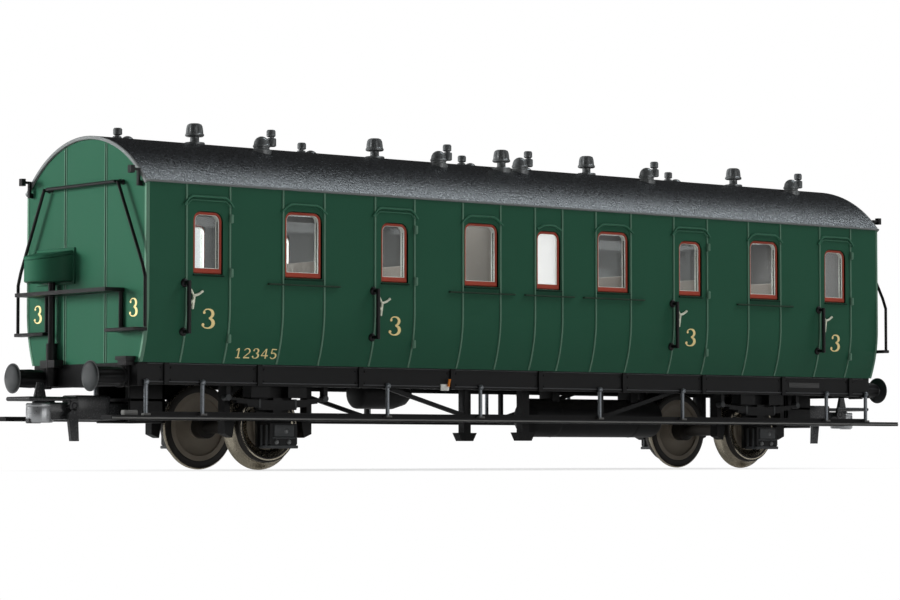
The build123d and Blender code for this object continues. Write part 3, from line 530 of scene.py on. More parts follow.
# Finishes: what they are on, linear colour, and for paint its roughness, specular level, metallic,
# variation, patch scale, grain scale, relief and dust
FINISHES = {
    "coach_green": ("Walls", (0.019, 0.085, 0.049), (0.42, 0.10, 0.0, 0.05, 90.0, 5200.0, 0.10, 0.0)),
    # Paler copy of the wall green: a painted highlight on the rain hoods
    "edge_green": ("Hoods", (0.038, 0.132, 0.08), (0.40, 0.20, 0.0, 0.06, 300.0, 5200.0, 0.08, 0.0)),
    # Paler copy of the wall green: a painted highlight on beads, corner strips and hinges
    "bead_green": ("Beads and hinges", (0.10, 0.20, 0.14), (0.40, 0.20, 0.0, 0.10, 300.0, 5200.0, 0.08, 0.0)),
    # Darker copy of the wall green: painted shade on the sill ledges
    "ledge_olive": ("Ledges", (0.032, 0.055, 0.038), (0.50, 0.10, 0.0, 0.10, 300.0, 5200.0, 0.08, 0.0)),
    # Dark green: painted shadow beside the side beads and under the window frames, and painted shade in the end
    # seams
    "joint_dark": ("Panel joints", (0.006, 0.025, 0.015), (0.55, 0.10, 0.0, 0.10, 300.0, 5200.0, 0.08, 0.0)),
    "inner_grey": ("Inside of walls and roof", (0.21, 0.205, 0.20), None),
    "roof_grey": ("Roof", (0.012, 0.0128, 0.0145), None),
    "roof_fleck": ("Flecks in the roof paint", (0.105, 0.115, 0.13), None),
    # Pale grey: a painted highlight on the roof rims and eave lips
    "rim_grey": ("Roof rims", (0.17, 0.18, 0.18), (0.45, 0.10, 0.0, 0.12, 500.0, 2600.0, 0.30, 0.0)),
    "roof_fitting_grey": (
        "Vents and lamp tops", (0.125, 0.133, 0.135), (0.30, 0.55, 0.25, 0.30, 700.0, 4200.0, 0.25, 0.25),
    ),
    "frame_red": ("Window frames", (0.35, 0.052, 0.028), (0.40, 0.25, 0.0, 0.12, 500.0, 6000.0, 0.15, 0.0)),
    "clear_pane": ("Window panes", slot_colour("clear_pane"), None),
    "pane_edge": ("Pane edges", (0.86, 0.86, 0.80), (0.40, 0.30, 0.0, 0.10, 400.0, 3000.0, 0.05, 0.0)),
    "frosted_pane": ("Toilet panes", (0.97, 0.98, 0.97), (0.35, 0.40, 0.0, 0.03, 150.0, 3000.0, 0.05, 0.0)),
    "floor_grey": (
        "Interior floor", slot_colour("floor_grey"), (0.60, 0.25, 0.0, 0.10, 300.0, 4000.0, 0.15, 0.0),
    ),
    "bench_brown": ("Benches", slot_colour("bench_brown"), (0.55, 0.25, 0.0, 0.14, 350.0, 3500.0, 0.20, 0.0)),
    "partition_grey": ("Dividers", (0.21, 0.185, 0.155), (0.50, 0.25, 0.0, 0.08, 220.0, 3500.0, 0.10, 0.0)),
    "ballast_steel": (
        "Ballast plate", slot_colour("ballast_steel"), (0.40, 0.50, 1.0, 0.15, 400.0, 5000.0, 0.15, 0.0),
    ),
    "frame_black": ("Frame", (0.0055, 0.0056, 0.006), (0.48, 0.20, 0.0, 0.18, 420.0, 4200.0, 0.22, 0.18)),
    # Pale grey: a painted highlight along the solebar lips
    "edge_grey": ("Solebar edges", (0.05, 0.052, 0.055), (0.42, 0.40, 0.0, 0.15, 500.0, 4200.0, 0.15, 0.0)),
    # Pale grey: a painted highlight on footboard nosings, hanger feet and board stops
    "board_edge": ("Footboard edges", (0.13, 0.13, 0.125), (0.40, 0.30, 0.0, 0.15, 500.0, 4200.0, 0.15, 0.0)),
    "hanger_steel": ("Hangers", (0.17, 0.185, 0.20), (0.30, 0.50, 0.6, 0.15, 600.0, 4200.0, 0.15, 0.0)),
    "box_grey": ("Axleboxes", (0.034, 0.0365, 0.038), (0.45, 0.30, 0.0, 0.20, 420.0, 4200.0, 0.25, 0.10)),
    "bolt_grey": ("Axlebox bolts", (0.12, 0.125, 0.125), (0.38, 0.45, 0.2, 0.15, 500.0, 4200.0, 0.15, 0.0)),
    "blank_plate": ("Blank plates", (0.05, 0.05, 0.05), (0.40, 0.30, 0.3, 0.12, 700.0, 5000.0, 0.10, 0.0)),
    "valve_white": ("Valve plate", (0.72, 0.72, 0.68), (0.45, 0.35, 0.0, 0.06, 800.0, 5000.0, 0.10, 0.0)),
    "valve_orange": ("Valve lever", (0.75, 0.22, 0.02), (0.45, 0.35, 0.0, 0.08, 800.0, 5000.0, 0.10, 0.0)),
    "buffer_metal": ("Buffers", (0.034, 0.037, 0.038), (0.32, 0.45, 0.2, 0.16, 600.0, 3800.0, 0.20, 0.05)),
    "coupler_black": (
        "Couplers", slot_colour("coupler_black"), (0.26, 0.42, 0.0, 0.15, 500.0, 3600.0, 0.15, 0.06),
    ),
    "drum_metal": ("Coupler heads", (0.37, 0.38, 0.39), (0.30, 0.50, 0.7, 0.12, 500.0, 3600.0, 0.12, 0.0)),
    "rail_black": (
        "Rails, steps and shelf", (0.006, 0.0056, 0.006), (0.40, 0.28, 0.0, 0.16, 600.0, 4500.0, 0.18, 0.10),
    ),
    "lever_silver": ("Door levers", (0.70, 0.72, 0.58), (0.38, 0.45, 0.2, 0.10, 700.0, 5000.0, 0.15, 0.0)),
    "letter_gold": ("Numerals", (0.88, 0.70, 0.32), (0.45, 0.30, 0.0, 0.08, 900.0, 6000.0, 0.05, 0.0)),
    "axle_steel": ("Axles", slot_colour("axle_steel"), (0.34, 0.50, 1.0, 0.15, 500.0, 5000.0, 0.15, 0.0)),
    "tyre_nickel": ("Treads", slot_colour("tyre_nickel"), (0.26, 0.50, 1.0, 0.14, 420.0, 5200.0, 0.10, 0.0)),
    "tyre_black": ("Tyre faces", (0.018, 0.016, 0.014), (0.42, 0.30, 0.2, 0.18, 500.0, 4200.0, 0.18, 0.0)),
    "disc_brown": ("Wheel discs", (0.24, 0.208, 0.165), (0.46, 0.30, 0.15, 0.14, 300.0, 3800.0, 0.18, 0.0)),
}


def opaque(colour):
    """Colour with full alpha."""
    return (*tuple(colour)[:3], 1.0)


def new_finish(name, metallic, specular):
    """Material with a Principled shader whose even values are set on its own sockets."""
    finish = bpy.data.materials.new(name)
    finish.use_nodes = True
    shader = finish.node_tree.nodes["Principled BSDF"]
    shader.inputs["Metallic"].default_value = metallic
    shader.inputs["Specular IOR Level"].default_value = specular
    return finish, finish.node_tree, shader


def cover(tree, shader, colour, rough):
    """Colour and roughness sockets into the shader."""
    tree.links.new(colour, shader.inputs["Base Color"])
    tree.links.new(rough, shader.inputs["Roughness"])


def relief(tree, shader, height, strength, distance):
    """Bump from a height socket into the shader's normal; distance is in millimetres."""
    bump = node(tree, "ShaderNodeBump", Strength=strength, Distance=distance * MM, Height=height)
    tree.links.new(bump.outputs[0], shader.inputs["Normal"])


def show_mix(tree, factor, first, second):
    """Mix of two shaders by a factor socket, as what the material shows."""
    mixer = node(tree, "ShaderNodeMixShader", factor, first.outputs[0], second.outputs[0])
    tree.links.new(mixer.outputs[0], tree.nodes["Material Output"].inputs["Surface"])


def painted(slot, colour, inner=None, axes=None):
    """Paint on plastic or metal: sprayed variation, grain in gloss and relief, dust where it can lie.

    Walls also have an inner colour on the faces that look inward along the given axes.
    """
    rough, specular, metallic, variation, patch, grain, strength, dust = FINISHES[slot][2]
    finish, tree, shader = new_finish(slot, metallic, specular)
    spray = place_group(
        tree, "Sprayed Paint", Color=opaque(colour), Variation=variation, Patch_Scale=patch,
        Grain_Scale=grain, Roughness=rough, Gloss_Spread=0.16,
    )
    shown = spray["Color"]
    if inner is not None:
        shown = place_group(tree, "Inner Face", Color=shown, Inner_Color=opaque(inner), Axes=axes)["Color"]
    if dust:
        shown = place_group(tree, "Settled Dust", Color=shown, Amount=dust)["Color"]
    cover(tree, shader, shown, spray["Roughness"])
    relief(tree, shader, spray["Height"], strength, 0.02)
    return finish


def speckled_roof(colour, fleck, inner):
    """Roof paint with fine mineral flecks that catch the light, over slow patches of spray; pale below."""
    finish, tree, shader = new_finish("roof_grey", 0.0, 0.55)
    grain = 2600.0
    specks = place_group(
        tree, "Mineral Fleck", Color=opaque(colour), Fleck_Color=opaque(fleck), Fleck_Scale=grain, Share=0.3,
    )
    spray = place_group(
        tree, "Sprayed Paint", Color=specks["Color"], Variation=0.14, Patch_Scale=260.0,
        Grain_Scale=grain, Roughness=0.29, Gloss_Spread=0.3,
    )
    lined = place_group(
        tree, "Inner Face", Color=spray["Color"], Inner_Color=opaque(inner),
        Centre=(0.0, 0.0, (ROOF_CENTRE + FLANGE_DEPTH) * MM), Axes=(0.0, 1.0, 1.0),
    )
    cover(tree, shader, lined["Color"], spray["Roughness"])
    relief(tree, shader, specks["Height"], 0.7, 0.09)
    return finish


def clear_pane(colour):
    """Clear moulded pane: a transmitting shader for what is seen, and clear to light from the lamps."""
    finish, tree, shader = new_finish("clear_pane", 0.0, 0.5)
    spray = place_group(
        tree, "Sprayed Paint", Color=opaque(colour), Variation=0.02, Patch_Scale=150.0, Grain_Scale=1200.0,
        Roughness=0.03, Gloss_Spread=0.02,
    )
    cover(tree, shader, spray["Color"], spray["Roughness"])
    shader.inputs["Transmission Weight"].default_value = 1.0
    shader.inputs["IOR"].default_value = 1.40
    through = node(tree, "ShaderNodeBsdfTransparent", Color=opaque(colour))
    show_mix(tree, tree.nodes.new("ShaderNodeLightPath").outputs["Is Shadow Ray"], shader, through)
    return finish


def frosted_pane(colour):
    """Frosted pane: rough white with a faint glow, as light from within shows through it."""
    finish = painted("frosted_pane", colour)
    shader = finish.node_tree.nodes["Principled BSDF"]
    shader.inputs["Transmission Weight"].default_value = 0.15
    shader.inputs["Emission Color"].default_value = opaque(colour)
    shader.inputs["Emission Strength"].default_value = 0.23
    return finish


def finish_for(slot):
    """The material of a slot or look, made when it is first asked for."""
    if slot in bpy.data.materials:
        if bpy.data.materials[slot].get("coach_finish"):
            return bpy.data.materials[slot]
        bpy.data.materials[slot].name = slot + ".packed"
    colours = bpy.context.scene.coach_colours
    colour = getattr(colours, slot)
    if slot == "roof_grey":
        finish = speckled_roof(colour, colours.roof_fleck, colours.inner_grey)
    elif slot == "clear_pane":
        finish = clear_pane(colour)
    elif slot == "frosted_pane":
        finish = frosted_pane(colour)
    else:
        finish = painted(slot, colour)
    finish["coach_finish"] = True
    return finish


def wall_finish(name, axes):
    """Wall paint with the moulding's own grey on the faces that look inward along the given axes."""
    colours = bpy.context.scene.coach_colours
    finish = painted("coach_green", colours.coach_green, colours.inner_grey, axes)
    finish.name = name
    return finish


# Sizes, colours and light that a user would change


def length_property(label, text, value):
    """Length in millimetres on the drawing."""
    return bpy.props.FloatProperty(name=label, description=text, default=value, min=0.0, precision=3)


def colour_property(slot):
    """Linear colour of a finish, named after its slot."""
    text, value, _ = FINISHES[slot]
    return bpy.props.FloatVectorProperty(
        name=slot.replace("_", " ").capitalize(), description=text, default=value, size=3, min=0.0, max=1.0,
        subtype="COLOR",
    )


def light_property(label, text, value, unit="POWER"):
    """Power of a lamp in watts, or with no unit the strength of the world's light."""
    return bpy.props.FloatProperty(name=label, description=text, default=value, min=0.0, unit=unit)


class CoachSizes(bpy.types.PropertyGroup):
    """Sizes of the dressing, in millimetres."""

    bead_width: length_property("Bead width", "Width of the upright beads on the walls", 0.30)
    bead_proud: length_property("Bead height", "How far the beads stand off the wall", 0.15)
    hood_proud: length_property("Hood depth", "How far the rain hoods stand off the wall", 0.38)
    sill_proud: length_property("Sill depth", "How far the sill ledges stand off the wall", 0.5)
    numeral_height: length_property("Numeral height", "Height of the class numerals on the doors", 2.8)
    number_height: length_property("Number height", "Height of the running number", 1.42)
    wire_radius: length_property("Grab rail radius", "Radius of the grab rails", 0.3)
    rivet_radius: length_property("Rivet radius", "Radius of the rivet heads", 0.17)


class CoachColours(bpy.types.PropertyGroup):
    """Colours of the finishes, one for each row of their table."""

    __annotations__ = {slot: colour_property(slot) for slot in FINISHES}


class CoachLight(bpy.types.PropertyGroup):
    """Power of the lamps and strength of the world's even light."""

    key: light_property("Key", "Lamp beyond the brake end", 15.0)
    front: light_property("Front", "Lamp before the side", 0.9)
    over: light_property("Over", "Lamp over the roof", 3.6)
    strip: light_property("Strip", "Lamp mirrored in the roof", 1.35)
    inside: light_property("Inside", "Lamp under the ceiling", 0.014)
    even: light_property("Even", "Even light from all round", 0.15, "NONE")
    sheen: light_property("Sheen", "Surround that glossy faces mirror", 0.03, "NONE")


DONE = {"FINISHED"}


class CoachOperator(bpy.types.Operator):
    """Base of the operators that make one group of pieces."""

    bl_options = {"REGISTER", "UNDO"}


class COACH_OT_frame_finish(CoachOperator):
    """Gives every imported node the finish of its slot."""

    bl_idname = "coach.frame_finish"
    bl_label = "Frame finishes"

    def execute(self, context):
        walls = {
            "body_side": wall_finish("coach_green.sides", (0.0, 1.0, 0.0)),
            "body_end": wall_finish("coach_green.ends", (1.0, 0.0, 0.0)),
        }
        for entry in frame["record"]["subparts"]:
            mesh = frame["nodes"][entry["node"]].data
            mesh.materials.clear()
            family = entry["node"].rsplit("_", 1)[0]
            mesh.materials.append(walls.get(family) or finish_for(entry["material_slot"]))
        return DONE


class COACH_OT_wall_beads(CoachOperator):
    """Upright beads between the panels of sides and ends, and corner strips, in a paler green as painted
    highlight; beside the side beads a dark line of painted shadow, and between the end beads painted shade in the
    seam.
    """

    bl_idname = "coach.wall_beads"
    bl_label = "Wall beads"

    def execute(self, context):
        sizes = context.scene.coach_sizes
        beads = Shape(*BOTH)
        joints = Shape(*BOTH)
        half = sizes.bead_width / 2
        joint = 0.06
        heights = np.linspace(BODY_BOTTOM + 0.05, EAVE - 0.1, 18)
        for kind, centre in BAYS:
            for way in (-1, 1):
                path = upright(centre + way * LIGHTS[kind][2], heights)
                beads.band(path, half, sizes.bead_proud, on_side)
                # Dark line to the right of each side bead: painted shadow of the bead
                joints.band(path + (half + joint, 0), joint, 0.015, on_side)
        end_seam = 5.17
        gable = ROOF_CENTRE + math.sqrt((ROOF_RADIUS - ROOF_THICKNESS) ** 2 - end_seam**2)
        for way in (-1, 1):
            path = line((way * end_seam, BODY_BOTTOM + 0.05), (way * end_seam, gable - 0.15), 6)
            # Dark band between the two pale end beads: painted shade in the seam
            joints.band(path, 0.16, 0.02, on_end)
            for aside in (-0.24, 0.24):
                beads.band(path + (aside, 0), 0.075, 0.07, on_end)
        strip = 0.22
        # Corner strips in the pale bead green: a painted highlight on the rounded corners
        for way in (-1, 1):
            beads.band(upright(way * (HALF_LENGTH - strip), heights), strip, 0.06, on_side)
            beads.band(upright(way * (wall(heights) - strip), heights), strip, 0.06, on_end)
        beads.piece("wall_beads", "coach_green", look="bead_green")
        joints.piece("bead_shadow_lines", "coach_green", look="joint_dark")
        return DONE


class COACH_OT_rain_hoods(CoachOperator):
    """Rain hoods over doors and windows: a ledge with ends swept down, and a second one below it on doors, in a
    paler green that is a painted highlight.
    """

    bl_idname = "coach.rain_hoods"
    bl_label = "Rain hoods"

    def execute(self, context):
        proud = context.scene.coach_sizes.hood_proud
        shape = Shape(*BOTH)
        step = 0.52
        crown = 0.45
        for kind, centre in BAYS:
            flat, top, reach, low = HOODS[kind]
            shape.band(self.swept(centre, flat, top, reach, low, 2.0), 0.17, proud, on_side, crown)
            if kind == "door":
                inner = self.swept(centre, flat - 0.1, top - step, reach - step, low, 1.6)
                shape.band(inner, 0.12, proud / 2, on_side, crown)
        # Paler green on the hoods: painted highlight
        shape.piece("rain_hoods", "coach_green", look="edge_green")
        return DONE

    def swept(self, centre, flat, top, reach, low, radius):
        """Path over a light: level at the top, with rounded bends down to both ends."""
        corners = [(centre - reach, low), (centre - flat, top), (centre + flat, top), (centre + reach, low)]
        return bend(corners, radius, 9)


class COACH_OT_sill_strips(CoachOperator):
    """Lips under the window frames, dark as painted shadow under the frames, with a long thin ledge below windows
    and toilet, darker than the walls as painted shade.
    """

    bl_idname = "coach.sill_strips"
    bl_label = "Sill strips"

    def execute(self, context):
        lips = Shape(*BOTH)
        ledges = Shape(*BOTH)
        crown = 0.4
        lip_z = SILL - 0.2
        ledge_z = 25.3
        ledge_half = {"window": 6.4, "toilet": 5.0}
        for kind, centre in BAYS:
            half = LIGHTS[kind][0] / 2
            lip = line((centre - half - 0.1, lip_z), (centre + half + 0.1, lip_z), 3)
            lips.band(lip, 0.1, 0.3, on_side, crown)
            if kind in ledge_half:
                reach = ledge_half[kind]
                ledge = line((centre - reach, ledge_z), (centre + reach, ledge_z), 5)
                ledges.band(ledge, 0.11, context.scene.coach_sizes.sill_proud, on_side, crown)
        # Dark lips: painted shadow under the window frames
        lips.piece("sill_strips", "coach_green", look="joint_dark")
        # Darker ledges: painted shade
        ledges.piece("sill_ledges", "coach_green", look="ledge_olive")
        return DONE


class COACH_OT_door_hinges(CoachOperator):
    """Three hinge knuckles on the right seam of each door, in a paler green that is a painted highlight."""

    bl_idname = "coach.door_hinges"
    bl_label = "Door hinges"

    def execute(self, context):
        shape = Shape(*BOTH)
        knuckle = [(0, -0.6), (0.26, -0.6), (0.32, -0.5), (0.32, 0.5), (0.26, 0.6), (0, 0.6)]
        for centre in DOORS:
            seam = centre + LIGHTS["door"][2]
            for z in (17.4, 26.6, 34.2):
                shape.turned(knuckle, (seam + 0.12, -float(wall(z)) - 0.2, z), "z", 12)
        shape.piece("door_hinges", "coach_green", look="bead_green")
        return DONE


# Numerals as strokes in a box of unit width and height: points of the middle line and half widths
STROKE_SHARE = 0.84
NUMERAL_PROUD = 0.03


def bar(start, stop, steps, half):
    """Straight stroke of even width."""
    return line(start, stop, steps), np.full(steps, half)


def ball(centre, radius):
    """Round end of a stroke: its half width follows a circle."""
    share = np.linspace(-0.98, 0.98, 9)
    path = np.stack([centre[0] + share * radius, np.full(9, centre[1])], -1)
    return path, radius * np.sqrt(1 - share**2)


def bowl(centre, radii, start, stop, thin, thick):
    """Curved stroke that swells where it runs upright on its right."""
    steps = 28
    swell = np.clip(np.cos(np.radians(np.linspace(start, stop, steps))), 0, 1) ** 1.5
    return arc(centre, radii, start, stop, steps), thin + (thick - thin) * swell


DIGITS = {
    "1": [
        bar((0.55, 0.02), (0.55, 0.98), 5, 0.09),
        bar((0.26, 0.76), (0.50, 0.96), 4, 0.05),
        bar((0.25, 0.04), (0.85, 0.04), 4, 0.05),
    ],
    "2": [
        bowl((0.48, 0.70), (0.36, 0.26), 165, -35, 0.05, 0.10),
        bar((0.75, 0.54), (0.14, 0.08), 6, 0.055),
        bar((0.10, 0.06), (0.90, 0.06), 4, 0.07),
    ],
    "3": [
        bowl((0.46, 0.745), (0.34, 0.225), 150, -80, 0.035, 0.105),
        bowl((0.46, 0.275), (0.40, 0.245), 80, -150, 0.035, 0.12),
        ball((0.19, 0.80), 0.09),
        ball((0.14, 0.19), 0.1),
    ],
    "4": [
        bar((0.62, 0.97), (0.08, 0.32), 6, 0.05),
        bar((0.05, 0.30), (0.95, 0.30), 4, 0.06),
        bar((0.66, 0.02), (0.66, 0.98), 5, 0.09),
    ],
    "5": [
        bar((0.22, 0.94), (0.86, 0.94), 4, 0.06),
        bar((0.24, 0.94), (0.20, 0.54), 4, 0.06),
        bowl((0.46, 0.31), (0.38, 0.27), 135, -150, 0.05, 0.11),
    ],
}


class COACH_OT_numerals(CoachOperator):
    """Class numerals on doors and ends, and a plain made-up running number."""

    bl_idname = "coach.numerals"
    bl_label = "Numerals"

    def execute(self, context):
        sizes = context.scene.coach_sizes
        shape = Shape(*BOTH)
        width = 0.86 * sizes.numeral_height
        right_of_middle = 0.12
        foot = 18.45
        fall = 0.004
        for centre in DOORS:
            left = centre + right_of_middle - width / 2
            self.write(shape, "3", left, foot - fall * centre, width, sizes.numeral_height, on_side)
        end_width = 2.2
        end_height = 2.6
        for across, low in ((12.15, 20.2), (-12.35, 20.0)):
            self.write(shape, "3", across - end_width / 2, low, end_width, end_height, on_end)
        start = -58.2
        pitch = 1.55
        digit_width = 1.3
        number_foot = 14.75
        for place, digit in enumerate("12345"):
            left = start + place * pitch
            self.write(shape, digit, left, number_foot, digit_width, sizes.number_height, on_side)
        shape.piece("numerals", "coach_green", look="letter_gold")
        return DONE

    def write(self, shape, digit, left, low, width, height, place):
        """One numeral on a wall, as raised bands along its strokes."""
        for path, half in DIGITS[digit]:
            scaled = path * (width, height) + (left, low)
            shape.band(scaled, half * height * STROKE_SHARE, NUMERAL_PROUD, place, 0.1)


def light_outline(kind, inset, low_inset, corner):
    """Outline of a side light about its centre line, square below and rounded above, drawn in by an inset."""
    width, top, _ = LIGHTS[kind]
    half = width / 2 - inset
    high = top - inset
    low = SILL + low_inset
    radius = max(corner - inset, 0.2)
    right = arc((half - radius, high - radius), (radius, radius), 0, 90, 8)
    left = arc((-half + radius, high - radius), (radius, radius), 90, 180, 8)
    return np.concatenate([[(-half, low), (0, low), (half, low)], right, left])


class COACH_OT_window_frames(CoachOperator):
    """Rounded frames in the side lights with a deeper bottom rail, corner fills and edges of the panes."""

    bl_idname = "coach.window_frames"
    bl_label = "Window frames"

    def execute(self, context):
        face = -box_mm("window_frames")[1][1]
        back = face + 0.75
        pane = face + 0.1
        inner = pane + 1.2
        deeper = 0.8 / 0.45
        square = 0.8
        fill = -HALF_WIDTH + 0.01
        fill_back = -HALF_WIDTH + 0.6
        # Sections: inset from the opening, inset of its bottom, corner radius of the opening, y
        round_off = face + 0.12
        frames = [
            (0.04, back), (0.04, round_off), (0.11, face), (0.36, face), (0.45, round_off), (0.45, back),
        ]
        edges = [(0.455, pane), (0.49, pane), (0.49, inner), (0.455, inner)]
        fills = [
            (-0.02, -0.02, square, fill), (0.0, 0.0, LIGHT_CORNER, fill),
            (0.0, 0.0, LIGHT_CORNER, fill_back), (-0.02, -0.02, square, fill_back),
        ]
        frames = [(inset, inset * deeper, LIGHT_CORNER, y) for inset, y in frames]
        edges = [(inset, inset * deeper, LIGHT_CORNER, y) for inset, y in edges]
        self.rings(frames).piece("frames", "frame_red", replaces=("window_frames",))
        self.rings(fills).piece("corner_fills", "coach_green")
        self.rings(edges).piece("pane_edges", "clear_pane", look="pane_edge")
        return DONE

    def rings(self, section):
        """One ring in every light: the light's outline carried round for each point of a section."""
        shape = Shape(*BOTH)
        for kind, centre in BAYS:
            rows = []
            for inset, low_inset, corner, y in section:
                outline = light_outline(kind, inset, low_inset, corner)
                rows.append(in_plane(outline + (centre, 0), y, "y"))
            shape.add(np.array(rows), wrap_rows=True)
        return shape


class COACH_OT_inside(CoachOperator):
    """Dividers and seat backs with rounded edges; between the seats the dividers are as low as the backs."""

    bl_idname = "coach.inside"
    bl_label = "Inside"

    def execute(self, context):
        low, high = box_mm("partitions")
        back_low, back_high = box_mm("bench_backs")
        half = 0.4
        toilet_x = 6.7
        dividers = Shape()
        for x, top in ((toilet_x, high[2]), (high[0] - half, back_high[2])):
            for way in (-1, 1):
                dividers.box((way * x - half, way * x + half), (low[1], high[1]), (low[2], top))
        dividers.piece("dividers", "partition_grey", replaces=("partitions",))
        backs = Shape()
        drop = 3.6
        for x in COMPARTMENTS:
            top = back_high[2] - (drop if x == COMPARTMENTS[0] else 0.0)
            backs.box((x - half, x + half), (back_low[1], back_high[1]), (back_low[2], top), 0.2)
        backs.piece("seat_backs", "bench_brown", replaces=("bench_backs",))
        return DONE


class COACH_OT_roof_shell(CoachOperator):
    """Barrel roof with rounded rims at the ends and a lip along each eave; rims and lips are pale grey as a
    painted highlight.
    """

    bl_idname = "coach.roof_shell"
    bl_label = "Roof shell"

    def execute(self, context):
        shape = Shape()
        steps = 72
        span = (90 + ROOF_HALF_ANGLE, 90 - ROOF_HALF_ANGLE)
        centre = (0, ROOF_CENTRE)
        rim = 0.1
        back = 0.2
        rows = []
        for end, draw in ((-1, rim), (-1, 0.0), (1, 0.0), (1, rim)):
            reach = ROOF_HIGH[0] - (back if draw else back + rim)
            outer = arc(centre, (ROOF_RADIUS - draw,) * 2, *span, steps)
            thin = ROOF_RADIUS - ROOF_THICKNESS + draw
            inner_angle = math.degrees(math.acos((EAVE - ROOF_CENTRE) / thin))
            inner = arc(centre, (thin, thin), 90 - inner_angle, 90 + inner_angle, steps)
            rows.append(in_plane(np.concatenate([outer, inner]), end * reach))
        shape.add(np.array(rows))
        shape.piece("roof_shell", "roof_grey", replaces=("roof",))
        lips = Shape(*BOTH)
        lip = np.array([ROOF_HIGH[0] - 0.1, -ROOF_HIGH[1] + 0.06, EAVE + 0.1])
        lips.tube(line(lip * (-1, 1, 1), lip, 9), 0.17)
        # Pale eave lips: painted highlight
        lips.piece("eave_lips", "roof_grey", look="rim_grey")
        rims = Shape(*BOTH)
        # Section of a rim: distance in from the end, depth below the roof's face
        section = [(0.3, 0.02), (0.06, 0.0), (0.0, 0.07), (0.0, 0.42), (0.06, 0.49), (0.3, 0.49)]
        rows = []
        for inward, depth in section:
            edge = arc(centre, (ROOF_RADIUS - depth,) * 2, *span, steps)
            rows.append(in_plane(edge, -ROOF_HIGH[0] + inward))
        rims.add(np.array(rows), wrap_rows=True, wrap_columns=False)
        # Pale roof rims: painted highlight
        rims.piece("roof_rims", "roof_grey", look="rim_grey")
        return DONE


class COACH_OT_roof_fittings(CoachOperator):
    """Ribbed mushroom vents, and lamp tops with their chimneys."""

    bl_idname = "coach.roof_fittings"
    bl_label = "Roof fittings"

    def execute(self, context):
        self.vents()
        self.lamps()
        return DONE

    def foot(self, y, radius):
        """Height of the roof under a fitting, and how far below it the fitting's foot reaches."""
        base = roof_z(y)
        return base, roof_z(abs(y) + radius) - base - 0.05

    def vents(self):
        shape = Shape()
        for x, y in [(x, 0.0) for x in COMPARTMENTS] + [(-1.5, -6.0)]:
            base, root = self.foot(y, 1.5)
            profile = [
                (0, root), (1.5, root), (1.5, 0.2), (1.4, 0.3), (0.76, 0.36), (0.66, 0.5), (0.66, 1.08),
                (1.2, 1.14), (1.38, 1.26), (1.38, 1.5), (1.26, 1.62), (1.22, 1.66), (1.18, 2.15), (1.1, 2.65),
                (1.0, 2.92), (0.7, 3.06), (0, 3.1),
            ]
            shape.turned(profile, (x, y, base), "z", 48, (12, 0.05, 1.65, 2.7))
        shape.piece("vents", "roof_fitting_grey", replaces=("ridge_vents",))

    def lamps(self):
        shape = Shape()
        aside = 7.65
        across = 6.0
        places = [(x + aside, -across) for x in COMPARTMENTS] + [(x - aside, across) for x in COMPARTMENTS]
        places += [(2.3, -across), (2.3, across)]
        cap = arc((0, 0.95), (1.15, 1.2), 0, 90, 8)
        chimney = [
            (0, 0.75), (0.5, 0.75), (0.68, 0.86), (0.68, 1.86), (0.58, 2.0), (0.36, 2.05), (0.36, 2.3),
            (0, 2.3),
        ]
        cowl = [(0, 2.16), (0.5, 2.16), (0.66, 2.28), (0.66, 3.0), (0.52, 3.2), (0, 3.24)]
        arm_z = 1.25
        for x, y in places:
            base, root = self.foot(y, 1.45)
            stand = [
                (0, root), (1.45, root), (1.45, 0.12), (1.3, 0.2), (1.15, 0.3), (1.15, 0.5), (1.27, 0.58),
                (1.27, 0.8),
            ]
            shape.turned(np.concatenate([stand, cap]), (x, y, base))
            chimney_x = x + math.copysign(1.8, -y)
            cowl_x = chimney_x - math.copysign(0.1, -y)
            shape.turned(chimney, (chimney_x, y, base), "z", 20)
            shape.turned(cowl, (cowl_x, y, base), "z", 20)
            shape.tube(line((x, y, base + arm_z), (chimney_x, y, base + arm_z), 3), 0.3)
        shape.piece("lamps", "roof_fitting_grey", replaces=("lamp_tops",))


